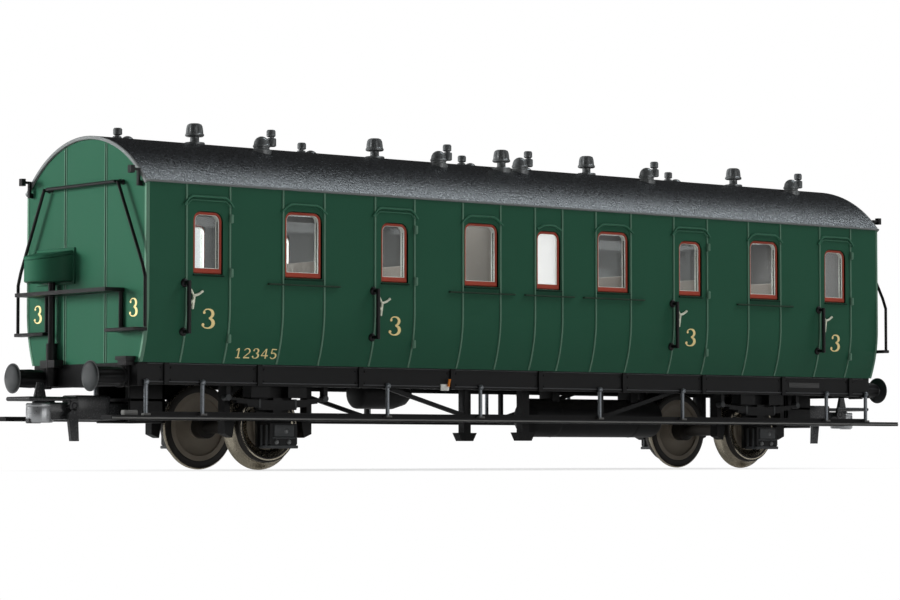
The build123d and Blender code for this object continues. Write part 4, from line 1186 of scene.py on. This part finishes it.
class COACH_OT_end_fittings(CoachOperator):
    """Hand-brake box with its lid and back plate, wall flanges of the end rails, and step plates."""

    bl_idname = "coach.end_fittings"
    bl_label = "End fittings"

    def execute(self, context):
        self.brake_box()
        self.rail_flanges()
        self.steps()
        return DONE

    def brake_box(self):
        """Half-round box: a section turned through half a circle, its upper part hung from a sloping lid."""
        low, high = box_mm("brake_box")
        radius = -HALF_LENGTH - low[0]
        centre = (low[1] + high[1]) / 2
        margin = 0.35
        bottom = low[2] + margin
        top = high[2] - margin
        fall = 0.9
        angle = np.radians(np.linspace(90, 270, 40))
        # Section of the box: radius, height, and whether the height is measured down from the lid
        section = [
            (0.0, bottom, 0), (radius - 0.15, bottom, 0), (radius, bottom + 0.12, 0), (radius, 0.62, 1),
            (radius - 0.1, 0.56, 1), (radius - 0.1, 0.5, 1), (radius + 0.06, 0.44, 1),
            (radius + 0.06, 0.1, 1), (radius - 0.05, 0.0, 1), (0.0, 0.0, 1),
        ]
        rows = []
        for reach, height, hung in section:
            x = -HALF_LENGTH + reach * np.cos(angle)
            y = centre + reach * np.sin(angle)
            lid = top - fall * (-HALF_LENGTH - x) / radius
            rows.append(np.stack([x, y, lid - height if hung else np.full_like(x, height)], -1))
        shape = Shape()
        shape.add(np.array(rows), wrap_columns=False)
        shape.box((-HALF_LENGTH + 0.05, -HALF_LENGTH - 0.25), (low[1], high[1]), (low[2], high[2]), 0.12)
        shape.piece("hand_brake_box", "coach_green", replaces=("brake_box",))

    def rail_flanges(self):
        shape = Shape(*BOTH)
        profile = [(0.38, -0.05), (0.38, 0.14), (0.3, 0.24), (0, 0.24)]
        flange = lathe(profile, (0, 0, 0), "x", 16) * (-1, 1, 1)
        for y, z in ((8.7, 39.1), (-8.7, 39.1), (9.5, 39.0), (-9.5, 39.0)):
            shape.add(flange + (-HALF_LENGTH, y, z))
        shape.piece("rail_flanges", "rail_black")

    def steps(self):
        """Step plates at both ends; the one on the far side of the brake end is shallower and longer."""
        shape = Shape(*BOTH)
        height = box_mm("end_steps")[:, 2]
        for depth, across in ((2.2, (-8.1, -15.6)), (1.4, (8.9, 16.6))):
            shape.box((-HALF_LENGTH, -HALF_LENGTH - depth), across, height)
        shape.piece("step_plates", "rail_black", replaces=("end_steps",))


class COACH_OT_door_furniture(CoachOperator):
    """Grab rails on round wall flanges, and forked door levers."""

    bl_idname = "coach.door_furniture"
    bl_label = "Door furniture"

    def execute(self, context):
        low, high = box_mm("grab_rails")
        rail_y = low[1] + 0.25
        rail_offset = 4.0
        lever_offset = 2.79
        lever_proud = 0.22
        foot_inset = 0.3
        flange = [(0.62, 0.05), (0.62, -0.12), (0.5, -0.28), (0.3, -0.34), (0, -0.34)]
        boss = [(0.3, 0.25), (0.3, -0.05), (0.2, -0.2), (0, -0.22)]
        rails = Shape(*BOTH)
        levers = Shape(*BOTH)
        for centre in DOORS:
            x = centre - rail_offset
            rail = line((x, rail_y, low[2]), (x, rail_y, high[2]), 6)
            rails.tube(rail, context.scene.coach_sizes.wire_radius, 12)
            for z in (low[2] + foot_inset, high[2] - foot_inset):
                face = -float(wall(z))
                rails.tube(line((x, face + 0.05, z), (x, rail_y, z), 4), 0.27, 12)
                rails.turned(flange, (x, face, z), "y", 16)
            stem = np.array([centre - lever_offset, -HALF_WIDTH - lever_proud, 0.0])
            levers.tube(line(stem + (0, 0, 21.36), stem + (0.3, 0, 23.25), 5), 0.2)
            levers.tube(line(stem + (0.3, 0, 23.15), stem + (-0.28, 0, 24.1), 4), 0.15)
            branch = [stem + (0.2, 0, 23.2), stem + (1.0, 0, 23.4), stem + (1.75, 0, 23.9)]
            levers.tube(bend(branch, 0.5), 0.18)
            levers.turned(boss, stem + (0, 0, 22.4), "y", 14)
        rails.piece("grab_bars", "rail_black", replaces=("grab_rails",))
        levers.piece("levers", "lever_silver", replaces=("door_levers",))
        return DONE


class COACH_OT_underframe(CoachOperator):
    """Rivets, axlebox fronts, vessels, hangers, board edges, blank plates and the changeover valve."""

    bl_idname = "coach.underframe"
    bl_label = "Underframe"

    def execute(self, context):
        self.rivets(context.scene.coach_sizes.rivet_radius)
        self.axlebox_fronts()
        self.vessels()
        self.hangers()
        self.board_edges()
        self.plates()
        return DONE

    def rivets(self, radius):
        """Four rivets on each rib of the solebars, and a lip along both edges of each in a pale grey that is a
        painted highlight.
        """
        shape = Shape(*BOTH)
        rivet = bolt_head(radius, 0.13, 4, 8)
        for x in [0.0] + [way * x for way in (-1, 1) for x in (17.5, 34.9, 53.1, 69.1)]:
            for across in (-0.85, 0.85):
                for z in (11.55, 13.25):
                    shape.add(rivet + (x + across, -SOLEBAR_FACE, z))
        shape.piece("solebar_rivets", "frame_black")
        lips = Shape(*BOTH)
        half = 72.2
        y = -SOLEBAR_FACE - 0.02
        for z in (11.3, 13.82):
            lips.tube(line((-half, y, z), (half, y, z), 9), 0.09, 8)
        # Pale solebar lips: painted highlight along the edges
        lips.piece("solebar_lips", "frame_black", look="edge_grey")

    def axlebox_fronts(self):
        """Cover, ledge and foot of each axlebox with its guides and bolts; eyes and clips of the springs."""
        shape = Shape(*BOTH)
        bolts = Shape(*BOTH)
        face = -13.6
        spring = -12.15
        bolt = bolt_head(0.36, 0.26, 5, 12)
        eye = [(0.0, -0.06), (0.45, -0.06), (0.5, 0.0), (0.5, 1.1), (0.45, 1.16), (0.0, 1.16)]
        # Cover, ledge and foot: half width, depth behind the face, height off it, bottom, top, rounding
        plates = [
            (1.75, 0.1, 0.16, 3.75, 5.45, 0.12),
            (2.05, 0.1, 0.1, 3.45, 3.65, 0.06),
            (2.55, 2.6, 0.1, 2.05, 2.5, 0.12),
        ]
        for x in (-AXLE_X, AXLE_X):
            for half, depth, proud, bottom, top, radius in plates:
                shape.box((x - half, x + half), (face + depth, face - proud), (bottom, top), radius)
            for way in (-1, 1):
                for depth in (0.55, 1.75):
                    guide = (face + depth, face + depth + 0.4)
                    shape.box((x + way * 2.3, x + way * 2.6), guide, (2.4, 5.4))
                shape.turned(eye, (x + way * 8.65, spring - 0.04, 9.25), "y", 14)
                clip = x + way * 3.2
                shape.box((clip - 0.2, clip + 0.2), (spring + 1.06, spring - 0.08), (7.75, 9.12), 0.08)
            for across, z in ((0.35, 4.5), (-1.3, 2.95), (0.9, 2.95)):
                bolts.add(bolt + (x + across, face - 0.06, z))
        shape.piece("axlebox_fronts", "frame_black", look="box_grey")
        bolts.piece("axlebox_bolts", "frame_black", look="bolt_grey")

    def vessels(self):
        """Gas tank with dished ends, hung by two straps, and a brake cylinder that tapers to its rod."""
        tank = Shape()
        low, high = box_mm("gas_tank")
        radius = (high[1] - low[1]) / 2
        half = (high[0] - low[0]) / 2
        x, y, z = ((low[0] + high[0]) / 2, (low[1] + high[1]) / 2, low[2] + radius)
        strap = [
            (radius - 0.1, -0.45), (radius, -0.4), (radius + 0.04, 0.0), (radius, 0.4), (radius - 0.1, 0.45),
        ]
        tank.turned(vessel_profile(half, radius, 1.5), (x, y, z), "x", 40)
        for hung in (x - half + 6.0, x + half - 6.0):
            tank.box((hung - 0.8, hung + 0.8), (y - 1.6, y + 1.6), (z, high[2]))
            tank.turned(strap, (hung, y, z), "x", 40)
        tank.piece("reservoir", "frame_black", replaces=("gas_tank",))
        cylinder = Shape()
        low, high = box_mm("brake_cylinder")
        radius = (high[1] - low[1]) / 2
        half = (high[0] - low[0]) / 2
        dished_end = vessel_profile(half, radius, 1.0)[:8]
        cone = [(radius, half - 3.4), (0.75 * radius, half - 1.2), (0.35 * radius, half), (0, half)]
        cylinder.turned(np.concatenate([dished_end, cone]), (low + high) / 2, "x")
        cylinder.piece("cylinder", "frame_black", replaces=("brake_cylinder",))

    def hangers(self):
        """Round rods with a bolted top, in place of the flat hangers."""
        shape = Shape(*BOTH)
        low, high = box_mm("footboard_hangers")
        y = low[1] + 0.3
        bolt = bolt_head(0.42, 0.3, 5, 12)
        for x in HANGERS:
            shape.tube(line((x, y, low[2]), (x, y, high[2]), 6), 0.3, 14)
            shape.add(bolt + (x, y - 0.2, high[2] - 0.35))
        shape.piece("hanger_rods", "frame_black", replaces=("footboard_hangers",), look="hanger_steel")

    def board_edges(self):
        """Pale nosing along each footboard, feet of the hangers and a stop at the board's end, all in a pale grey
        that is a painted highlight.
        """
        shape = Shape(*BOTH)
        low, high = box_mm("footboards")
        top = 6.6
        y = low[1] - 0.02
        z = top - 0.38
        shape.tube(line((low[0] + 0.05, y, z), (high[0] - 0.05, y, z), 9), 0.12, 8)
        for x in HANGERS:
            shape.box((x - 0.55, x + 0.55), (-13.15, -13.95), (top - 0.02, top + 0.3), 0.08)
        shape.box((-76.4, -74.2), (-13.0, -14.0), (top - 0.02, top + 0.7), 0.12)
        # Pale grey on nosing, feet and stop: painted highlight
        shape.piece("board_edges", "frame_black", look="board_edge")

    def plates(self):
        """Blank plates on the solebars, and the plate and lever of the changeover valve."""
        root = -SOLEBAR_FACE + 0.05
        blank = Shape(*BOTH)
        blank.box((54.5, 61.7), (root, -SOLEBAR_FACE - 0.1), (12.15, 13.0), 0.05)
        blank.piece("blank_plates", "frame_black", look="blank_plate")
        plate = Shape(*BOTH)
        plate.box((-19.8, -18.2), (root, -SOLEBAR_FACE - 0.3), (10.65, 11.65), 0.15)
        plate.piece("changeover_plates", "frame_black", look="valve_white")
        lever = Shape(*BOTH)
        arm = line((-18.5, -SOLEBAR_FACE - 0.42, 11.3), (-18.3, -SOLEBAR_FACE - 0.5, 12.4), 4)
        lever.tube(arm, (0.2, 0.18, 0.18, 0.22))
        lever.piece("changeover_levers", "frame_black", look="valve_orange")


# Rings of a wheel: the piece they are in, whether their section is closed, and that section as radius
# and distance out from the wheel's back
WHEEL_RINGS = [
    # Flange with round tip, fillet and coned tread
    ("treads", True, [
        (4.9, 0.06), (5.9, 0.06), (6.16, 0.12), (6.3, 0.32), (6.28, 0.5), (6.1, 0.7), (5.72, 0.9),
        (5.46, 1.06), (5.34, 1.25), (5.28, 1.45), (5.2, 2.6), (5.08, 2.74), (4.9, 2.74),
    ]),
    # Bright turned bore of the tyre on its outer side
    ("treads", True, [(3.4, 2.0), (3.4, 2.14), (4.42, 2.66), (4.5, 2.7), (4.5, 2.0)]),
    # Narrow bright ring turned in the outer face of the tyre
    ("treads", True, [(4.76, 2.7), (4.76, 2.83), (4.94, 2.83), (4.94, 2.7)]),
    # Dark rim round the back of the tyre
    ("tyre_faces", True, [(5.06, 0.1), (5.06, 0.03), (5.12, 0.0), (5.9, 0.0), (6.1, 0.05), (6.1, 0.1)]),
    # Dark outer face of the tyre, with a turned step
    ("tyre_faces", True, [(4.46, 2.4), (4.48, 2.72), (4.56, 2.8), (5.0, 2.8), (5.1, 2.76), (5.1, 2.4)]),
    # Outer part of the tread in black: a painted dark reflection on the tread
    ("tyre_faces", True, [(4.96, 1.95), (5.262, 1.95), (5.216, 2.61), (5.1, 2.77), (4.96, 2.78)]),
    # Disc from the back round the rim to the outer hub
    ("wheel_discs", False, [
        (1.02, 0.0), (1.6, 0.0), (1.7, 0.12), (1.7, 0.42), (1.95, 0.5), (4.1, 0.42), (4.4, 0.22),
        (4.42, 0.2), (4.42, 2.5), (4.3, 2.44), (4.1, 2.2), (2.1, 1.9), (1.8, 2.1), (1.7, 2.7), (1.6, 2.8),
        (1.02, 2.8),
    ]),
    # Ring that carries the disc's colour out over the back of the tyre
    ("wheel_discs", True, [(4.3, 0.2), (4.3, 0.03), (5.08, 0.03), (5.08, 0.1)]),
]


class COACH_OT_wheels(CoachOperator):
    """Tyres with flange and coned tread, wheel discs with hub, and axle bushes, for both wheelsets."""

    bl_idname = "coach.wheels"
    bl_label = "Wheels"

    def execute(self, context):
        # One half of the axle, from its tip to the middle: radius, distance from the middle
        half_shaft = np.array([
            (0, -11.75), (0.4, -11.75), (0.5, -11.6), (0.5, -10.0), (1.0, -9.9), (1.0, -7.0), (1.75, -6.9),
            (1.75, -5.2), (1.0, -5.0),
        ])
        shaft = np.concatenate([half_shaft, (half_shaft * (1, -1))[::-1]])
        for letter, end in (("a", -1), ("b", 1)):
            centre = (end * AXLE_X, 0.0, TREAD_RADIUS)
            body = "wheelset_" + letter
            shapes = {kind: Shape() for kind, _, _ in WHEEL_RINGS}
            for side in (-1, 1):
                for kind, closed, section in WHEEL_RINGS:
                    ring = lathe(np.array(section) + (0, WHEEL_BACK), (0, 0, 0), "y", 72)
                    shapes[kind].add(ring * (1, side, 1) + centre, closed)
            shapes["treads"].piece("treads_" + letter, "tyre_nickel", body, ("tyres_" + letter,))
            shapes["tyre_faces"].piece("tyre_faces_" + letter, "tyre_nickel", body, look="tyre_black")
            shapes["wheel_discs"].piece("wheel_discs_" + letter, "disc_brown", body, ("discs_" + letter,))
            axle = Shape()
            axle.turned(shaft, centre, "y", 28)
            axle.piece("axle_shaft_" + letter, "axle_steel", body, ("axle_" + letter,), "tyre_black")
        return DONE


class COACH_OT_buffers(CoachOperator):
    """Buffers: bolted base plate, fluted sleeve that reaches the head, and plunger with a domed head."""

    bl_idname = "coach.buffers"
    bl_label = "Buffers"

    def execute(self, context):
        low, high = box_mm("buffer_heads")
        reach = high[0] - HALF_LENGTH
        height = (low[2] + high[2]) / 2
        sleeve = [
            (0, 0), (1.5, 0.0), (1.5, 0.62), (1.38, 0.75), (1.22, 0.8), (1.22, 2.7), (1.16, 4.7),
            (1.05, 4.85), (0.6, 4.85),
        ]
        plunger = [
            (0, 3.3), (0.8, 3.3), (0.8, 3.6), (0.8, 5.0), (0.95, 5.3), (1.9, 5.46), (2.15, 5.56),
            (2.15, 5.66),
        ]
        dish = arc((reach - 0.5, 0), (0.5, 2.0), 90, 0, 8)[:, ::-1]
        outward = (-1, 1, 1)
        case = lathe(sleeve, (0, 0, 0), "x", 48, (8, 0.1, 0.85, 4.75)) * outward
        head = lathe(np.concatenate([plunger, dish]), (0, 0, 0), "x", 40, (8, 0.07, 3.5, 5.0)) * outward
        bolt = bolt_head(0.26, 0.2, 4, 8, "end")
        plate = 0.4
        plate_half = 1.5
        bolt_offset = 1.15
        sleeves = Shape(*BOTH)
        heads = Shape(*BOTH)
        for y in (-10.0, 10.0):
            base = np.array([-HALF_LENGTH, y, height])
            sleeves.add(case + base)
            across = (y - plate_half, y + plate_half)
            upward = (height - plate_half, height + plate_half)
            sleeves.box((-HALF_LENGTH, -HALF_LENGTH - plate), across, upward)
            for aside in (-bolt_offset, bolt_offset):
                for up in (-bolt_offset, bolt_offset):
                    sleeves.add(bolt + base + (-plate, aside, up))
            heads.add(head + base)
        sleeves.piece("buffer_cases", "frame_black", replaces=("buffer_sleeves",))
        heads.piece("buffer_plungers", "buffer_metal", replaces=("buffer_heads",))
        return DONE


class COACH_OT_couplers(CoachOperator):
    """Coupler arms with drum head and hook fin, their lifting loops and their pockets, at both ends."""

    bl_idname = "coach.couplers"
    bl_label = "Couplers"

    def execute(self, context):
        for letter, turn in zip("ab", BOTH):
            self.arm(letter, turn)
            self.loop(letter, turn)
            self.pocket(letter, turn)
        return DONE

    def arm(self, letter, turn):
        """Eye, shank, shoulder, prong, pin and hook fin, with the drum as a bright piece of its own."""
        body = "coupler_arm_" + letter
        head_x = -81.2
        low = 5.62
        top = 8.35
        eye = [(0.9, 6.0), (1.7, 6.0), (1.8, 6.1), (1.8, 8.4), (1.7, 8.5), (0.9, 8.5)]
        drum = [
            (0, low), (1.7, low), (1.85, low + 0.08), (1.9, low + 0.25), (1.9, top - 0.6), (1.86, top - 0.5),
            (1.9, top - 0.4), (1.9, top - 0.15), (1.8, top), (0, top),
        ]
        pin = [(0, -3.2), (0.34, -3.2), (0.4, -3.1), (0.4, 3.1), (0.34, 3.2), (0, 3.2)]
        head = Shape(turn)
        head.turned(drum, (head_x, 0, 0), "z", 48)
        head.piece("coupler_drum_" + letter, "coupler_black", body, look="drum_metal")
        shape = Shape(turn)
        shape.add(lathe(eye, (-PIVOT_X, 0, 0), "z", 28), wrap_rows=True)
        shape.box((head_x, -PIVOT_X - 1.2), (-1.75, 1.75), (6.02, 8.45), 0.25, 3)
        shape.box((-76.4, -70.6), (-1.9, 1.9), (6.3, 9.5), 0.3, 3)
        shape.box((box_mm("coupler_a")[0][0] + 0.8, head_x), (-0.6, 0.6), (low - 0.1, low + 0.6), 0.2, 3)
        shape.turned(pin, (-LOOP_X, 0, LOOP_Z), "y", 16)
        shape.add(self.fin(head_x, top))
        shape.piece(body + "_shell", "coupler_black", body, ("coupler_" + letter,))

    def fin(self, x, base):
        """Hook fin: a rounded rectangle, square roots of cosine and sine, that shrinks as it rises."""
        rise = np.linspace(-0.1, 2.9, 7)[:, None]
        angle = np.linspace(0, 2 * np.pi, 20, endpoint=False)
        narrow = 1 - 0.19 * rise
        squared = np.abs(np.cos(angle)) ** 0.5 * np.sign(np.cos(angle))
        across = np.abs(np.sin(angle)) ** 0.5 * np.sign(np.sin(angle))
        along = x + narrow * 1.12 * squared
        return np.stack([along, narrow * 0.5 * across, base + rise + 0 * along], -1)

    def loop(self, letter, turn):
        """Three bars and two lugs of the loop, the eyes on its pin, and the release tail."""
        low, high = box_mm("coupler_loop_a")
        front = low[0]
        half = high[1]
        bar_width = 0.6
        inner = half - bar_width
        height = (high[2] - bar_width, high[2])
        shape = Shape(turn)
        shape.box((front, front + bar_width), (-half, half), height, 0.27, 3)
        for side in (-1, 1):
            across = (side * inner, side * half)
            shape.box((front, -LOOP_X), across, height, 0.27, 3)
            lug = (-LOOP_X - bar_width, -LOOP_X + bar_width)
            shape.box(lug, across, (LOOP_Z + 0.45, high[2]), 0.27, 3)
        eye = [(0.45, inner), (0.72, inner), (0.8, half - 0.5), (0.8, half - 0.1), (0.72, half), (0.45, half)]
        for side in (-1, 1):
            ring = lathe(eye, (0, 0, 0), "y", 20) * (1, side, 1) + (-LOOP_X, 0, LOOP_Z)
            shape.add(ring, wrap_rows=True)
        # Release tail: height, offset of its middle, half width
        tail = np.array([
            (LOOP_Z - 0.5, 0.0, 0.42), (7.2, -0.1, 0.5), (6.9, -0.22, 0.8), (low[2], 0.12, 0.62),
        ])
        drop, offset, width = tail.T
        x = np.concatenate([-LOOP_X + offset - width, (-LOOP_X + offset + width)[::-1]])
        outline = np.stack([x, np.concatenate([drop, drop[::-1]])], -1)
        faces = [in_plane(outline, y, "y") for y in (-half, -half + bar_width)]
        shape.add(np.stack(faces, 1), wrap_rows=True, wrap_columns=False)
        body = "coupler_bail_" + letter
        shape.piece(body + "_shell", "coupler_black", body, ("coupler_loop_" + letter,))

    def pocket(self, letter, turn):
        """Pocket round the arm's eye: thin keeper plate, roof plate, back wall, two cheeks and pin."""
        low, high = box_mm("coupler_pocket_a")
        keeper = low[2] + 0.5
        under = keeper - 0.2
        half = high[1]
        thick = 0.6
        roof = 8.65
        length = (low[0], high[0])
        width = (-half, half)
        height = (under, high[2])
        shape = Shape(turn)
        for x, y, z in (
            (length, width, (under, keeper)),
            (length, width, (roof, roof + 0.5)),
            ((high[0] - thick, high[0]), width, height),
            (length, (-half, -half + thick), height),
            (length, (half - thick, half), height),
        ):
            shape.box(x, y, z, 0.08)
        pin = [(0, keeper - 0.1), (0.8, keeper - 0.1), (0.8, high[2]), (0, high[2])]
        shape.turned(pin, (-PIVOT_X, 0, 0), "z", 24)
        shape.piece("coupler_case_" + letter, "frame_black", replaces=("coupler_pocket_" + letter,))


class COACH_OT_stage(CoachOperator):
    """Pale floor, soft lamps, even world light and the camera."""

    bl_idname = "coach.stage"
    bl_label = "Stage"

    def execute(self, context):
        light = context.scene.coach_light
        self.floor()
        self.world(light.even, light.sheen)
        key = self.lamp("key_lamp", (-0.62, 0.65, 0.17), (0.34, 0.24), light.key)
        key.visible_glossy = False
        self.lamp("front_lamp", (0.02, -0.88, 0.085), (0.6, 0.16), light.front)
        over = self.lamp("over_lamp", (0.55, -0.27, 0.60), (0.4, 0.26), light.over)
        over.visible_glossy = False
        strip = self.lamp("roof_lamp", (0.40, -0.05, 0.62), (0.08, 0.42), light.strip)
        strip.visible_diffuse = False
        strip.data.color = (0.85, 0.94, 1.0)
        self.lamp("inside_lamp", (0.0, 0.0, 0.0385), (0.14, 0.018), light.inside)
        self.camera()
        context.scene.view_settings.view_transform = "Standard"
        return DONE

    def floor(self):
        """Round floor just under the wheels, which turns to plain white for the camera away from them."""
        spokes = 48
        rings = 9
        radius = np.linspace(0, 4.0, rings)[:, None]
        angle = np.linspace(0, 2 * np.pi, spokes, endpoint=False)
        height = np.full((rings, spokes), -0.0001)
        grid = np.stack([radius * np.cos(angle), radius * np.sin(angle), height], -1).reshape(-1, 3)
        mesh = bpy.data.meshes.new("floor")
        mesh.from_pydata(grid.tolist(), [], grid_quads(rings, spokes, False, True).tolist())
        floor = new_object("floor", mesh)
        finish, tree, shader = new_finish("floor_white", 0.0, 0.0)
        shader.inputs["Base Color"].default_value = (0.9, 0.9, 0.9, 1.0)
        shader.inputs["Roughness"].default_value = 0.9
        place = tree.nodes.new("ShaderNodeTexCoord").outputs["Object"]
        shrunk = vector_node(tree, "MULTIPLY", place, (10.0, 22.0, 0.0)).outputs["Vector"]
        away = vector_node(tree, "LENGTH", shrunk).outputs["Value"]
        fade = node(tree, "ShaderNodeMapRange", Value=away, From_Min=0.4, From_Max=0.9, To_Min=0.6)
        camera_ray = tree.nodes.new("ShaderNodeLightPath").outputs["Is Camera Ray"]
        seen = math_node(tree, "MULTIPLY", fade.outputs[0], camera_ray)
        show_mix(tree, seen, shader, node(tree, "ShaderNodeEmission", Color=WHITE, Strength=1.0))
        mesh.materials.append(finish)

    def world(self, even, sheen):
        """White all round for camera and glass rays, an even light for the rest; mirror rays see a dim
        surround with a broad bright patch before the side and another beyond the brake end."""
        world = bpy.data.worlds.new("studio")
        world.use_nodes = True
        tree = world.node_tree
        back = tree.nodes["Background"]
        back.inputs["Color"].default_value = WHITE
        path = tree.nodes.new("ShaderNodeLightPath").outputs
        shown = math_node(tree, "MAXIMUM", path["Is Camera Ray"], path["Is Transmission Ray"])
        toward = tree.nodes.new("ShaderNodeTexCoord").outputs["Generated"]
        mirrored = sheen
        for direction, brightness in (((0.60, -0.80, 0.05), 0.7), ((-0.68, 0.72, 0.15), 0.9)):
            patch = vector_node(tree, "DOT_PRODUCT", toward, direction).outputs["Value"]
            glow = node(tree, "ShaderNodeMapRange", Value=patch, From_Min=0.75, From_Max=0.96)
            glow.inputs["To Max"].default_value = brightness
            mirrored = math_node(tree, "ADD", glow.outputs[0], mirrored)
        over_even = math_node(tree, "SUBTRACT", mirrored, even)
        dim = math_node(tree, "MULTIPLY_ADD", path["Is Glossy Ray"], over_even, even)
        rest = math_node(tree, "SUBTRACT", 1.0, dim)
        strength = math_node(tree, "MULTIPLY_ADD", shown, rest, dim)
        tree.links.new(strength, back.inputs["Strength"])
        bpy.context.scene.world = world

    def lamp(self, name, place, size, power):
        """Soft lamp of a width and a height, aimed at the middle of the coach."""
        data = bpy.data.lights.new(name, "AREA")
        data.shape = "RECTANGLE"
        data.size, data.size_y = size
        data.energy = power
        lamp = new_object(name, data)
        lamp.location = place
        aim = np.array([0.0, 0.0, 0.025]) - np.array(place)
        turn = math.atan2(aim[1], aim[0]) - math.pi / 2 if np.hypot(aim[0], aim[1]) > 0.001 else 0.0
        lamp.rotation_euler = (math.acos(-aim[2] / np.linalg.norm(aim)), 0.0, turn)
        return lamp

    def camera(self):
        """Camera low before the brake end, pitched slightly up, at the photograph's angle."""
        focal_px = 3087.93
        picture_width_px = 900
        pitch_px = 153.5687
        heading = 0.8760
        data = bpy.data.cameras.new("camera")
        data.sensor_width = 36.0
        data.lens = focal_px / picture_width_px * data.sensor_width
        data.clip_start = 0.01
        camera = new_object("camera", data)
        camera.location = (-0.312649, -0.366928, 0.0023526)
        camera.rotation_euler = (math.pi / 2 + math.atan(pitch_px / focal_px), 0.0, heading - math.pi / 2)
        bpy.context.scene.camera = camera


OPERATORS = (
    COACH_OT_frame_finish,
    COACH_OT_wall_beads,
    COACH_OT_rain_hoods,
    COACH_OT_sill_strips,
    COACH_OT_door_hinges,
    COACH_OT_numerals,
    COACH_OT_window_frames,
    COACH_OT_inside,
    COACH_OT_roof_shell,
    COACH_OT_roof_fittings,
    COACH_OT_end_fittings,
    COACH_OT_door_furniture,
    COACH_OT_underframe,
    COACH_OT_wheels,
    COACH_OT_buffers,
    COACH_OT_couplers,
    COACH_OT_stage,
)


class COACH_PT_dressing(bpy.types.Panel):
    """Sidebar panel with the operators in the order in which they run."""

    bl_label = "Model Coach"
    bl_idname = "COACH_PT_dressing"
    bl_space_type = "VIEW_3D"
    bl_region_type = "UI"
    bl_category = "Coach"

    def draw(self, context):
        for operator in OPERATORS:
            self.layout.operator(operator.bl_idname)


GROUPS = {"coach_sizes": CoachSizes, "coach_colours": CoachColours, "coach_light": CoachLight}
CLASSES = (*GROUPS.values(), *OPERATORS, COACH_PT_dressing)


def register():
    for registered in CLASSES:
        bpy.utils.register_class(registered)
    for name, group in GROUPS.items():
        setattr(bpy.types.Scene, name, bpy.props.PointerProperty(type=group))


def unregister():
    for name in GROUPS:
        delattr(bpy.types.Scene, name)
    for registered in reversed(CLASSES):
        bpy.utils.unregister_class(registered)


def main():
    register()
    for operator in OPERATORS:
        family, name = operator.bl_idname.split(".")
        getattr(getattr(bpy.ops, family), name)()


if __name__ == "__main__":
    main()
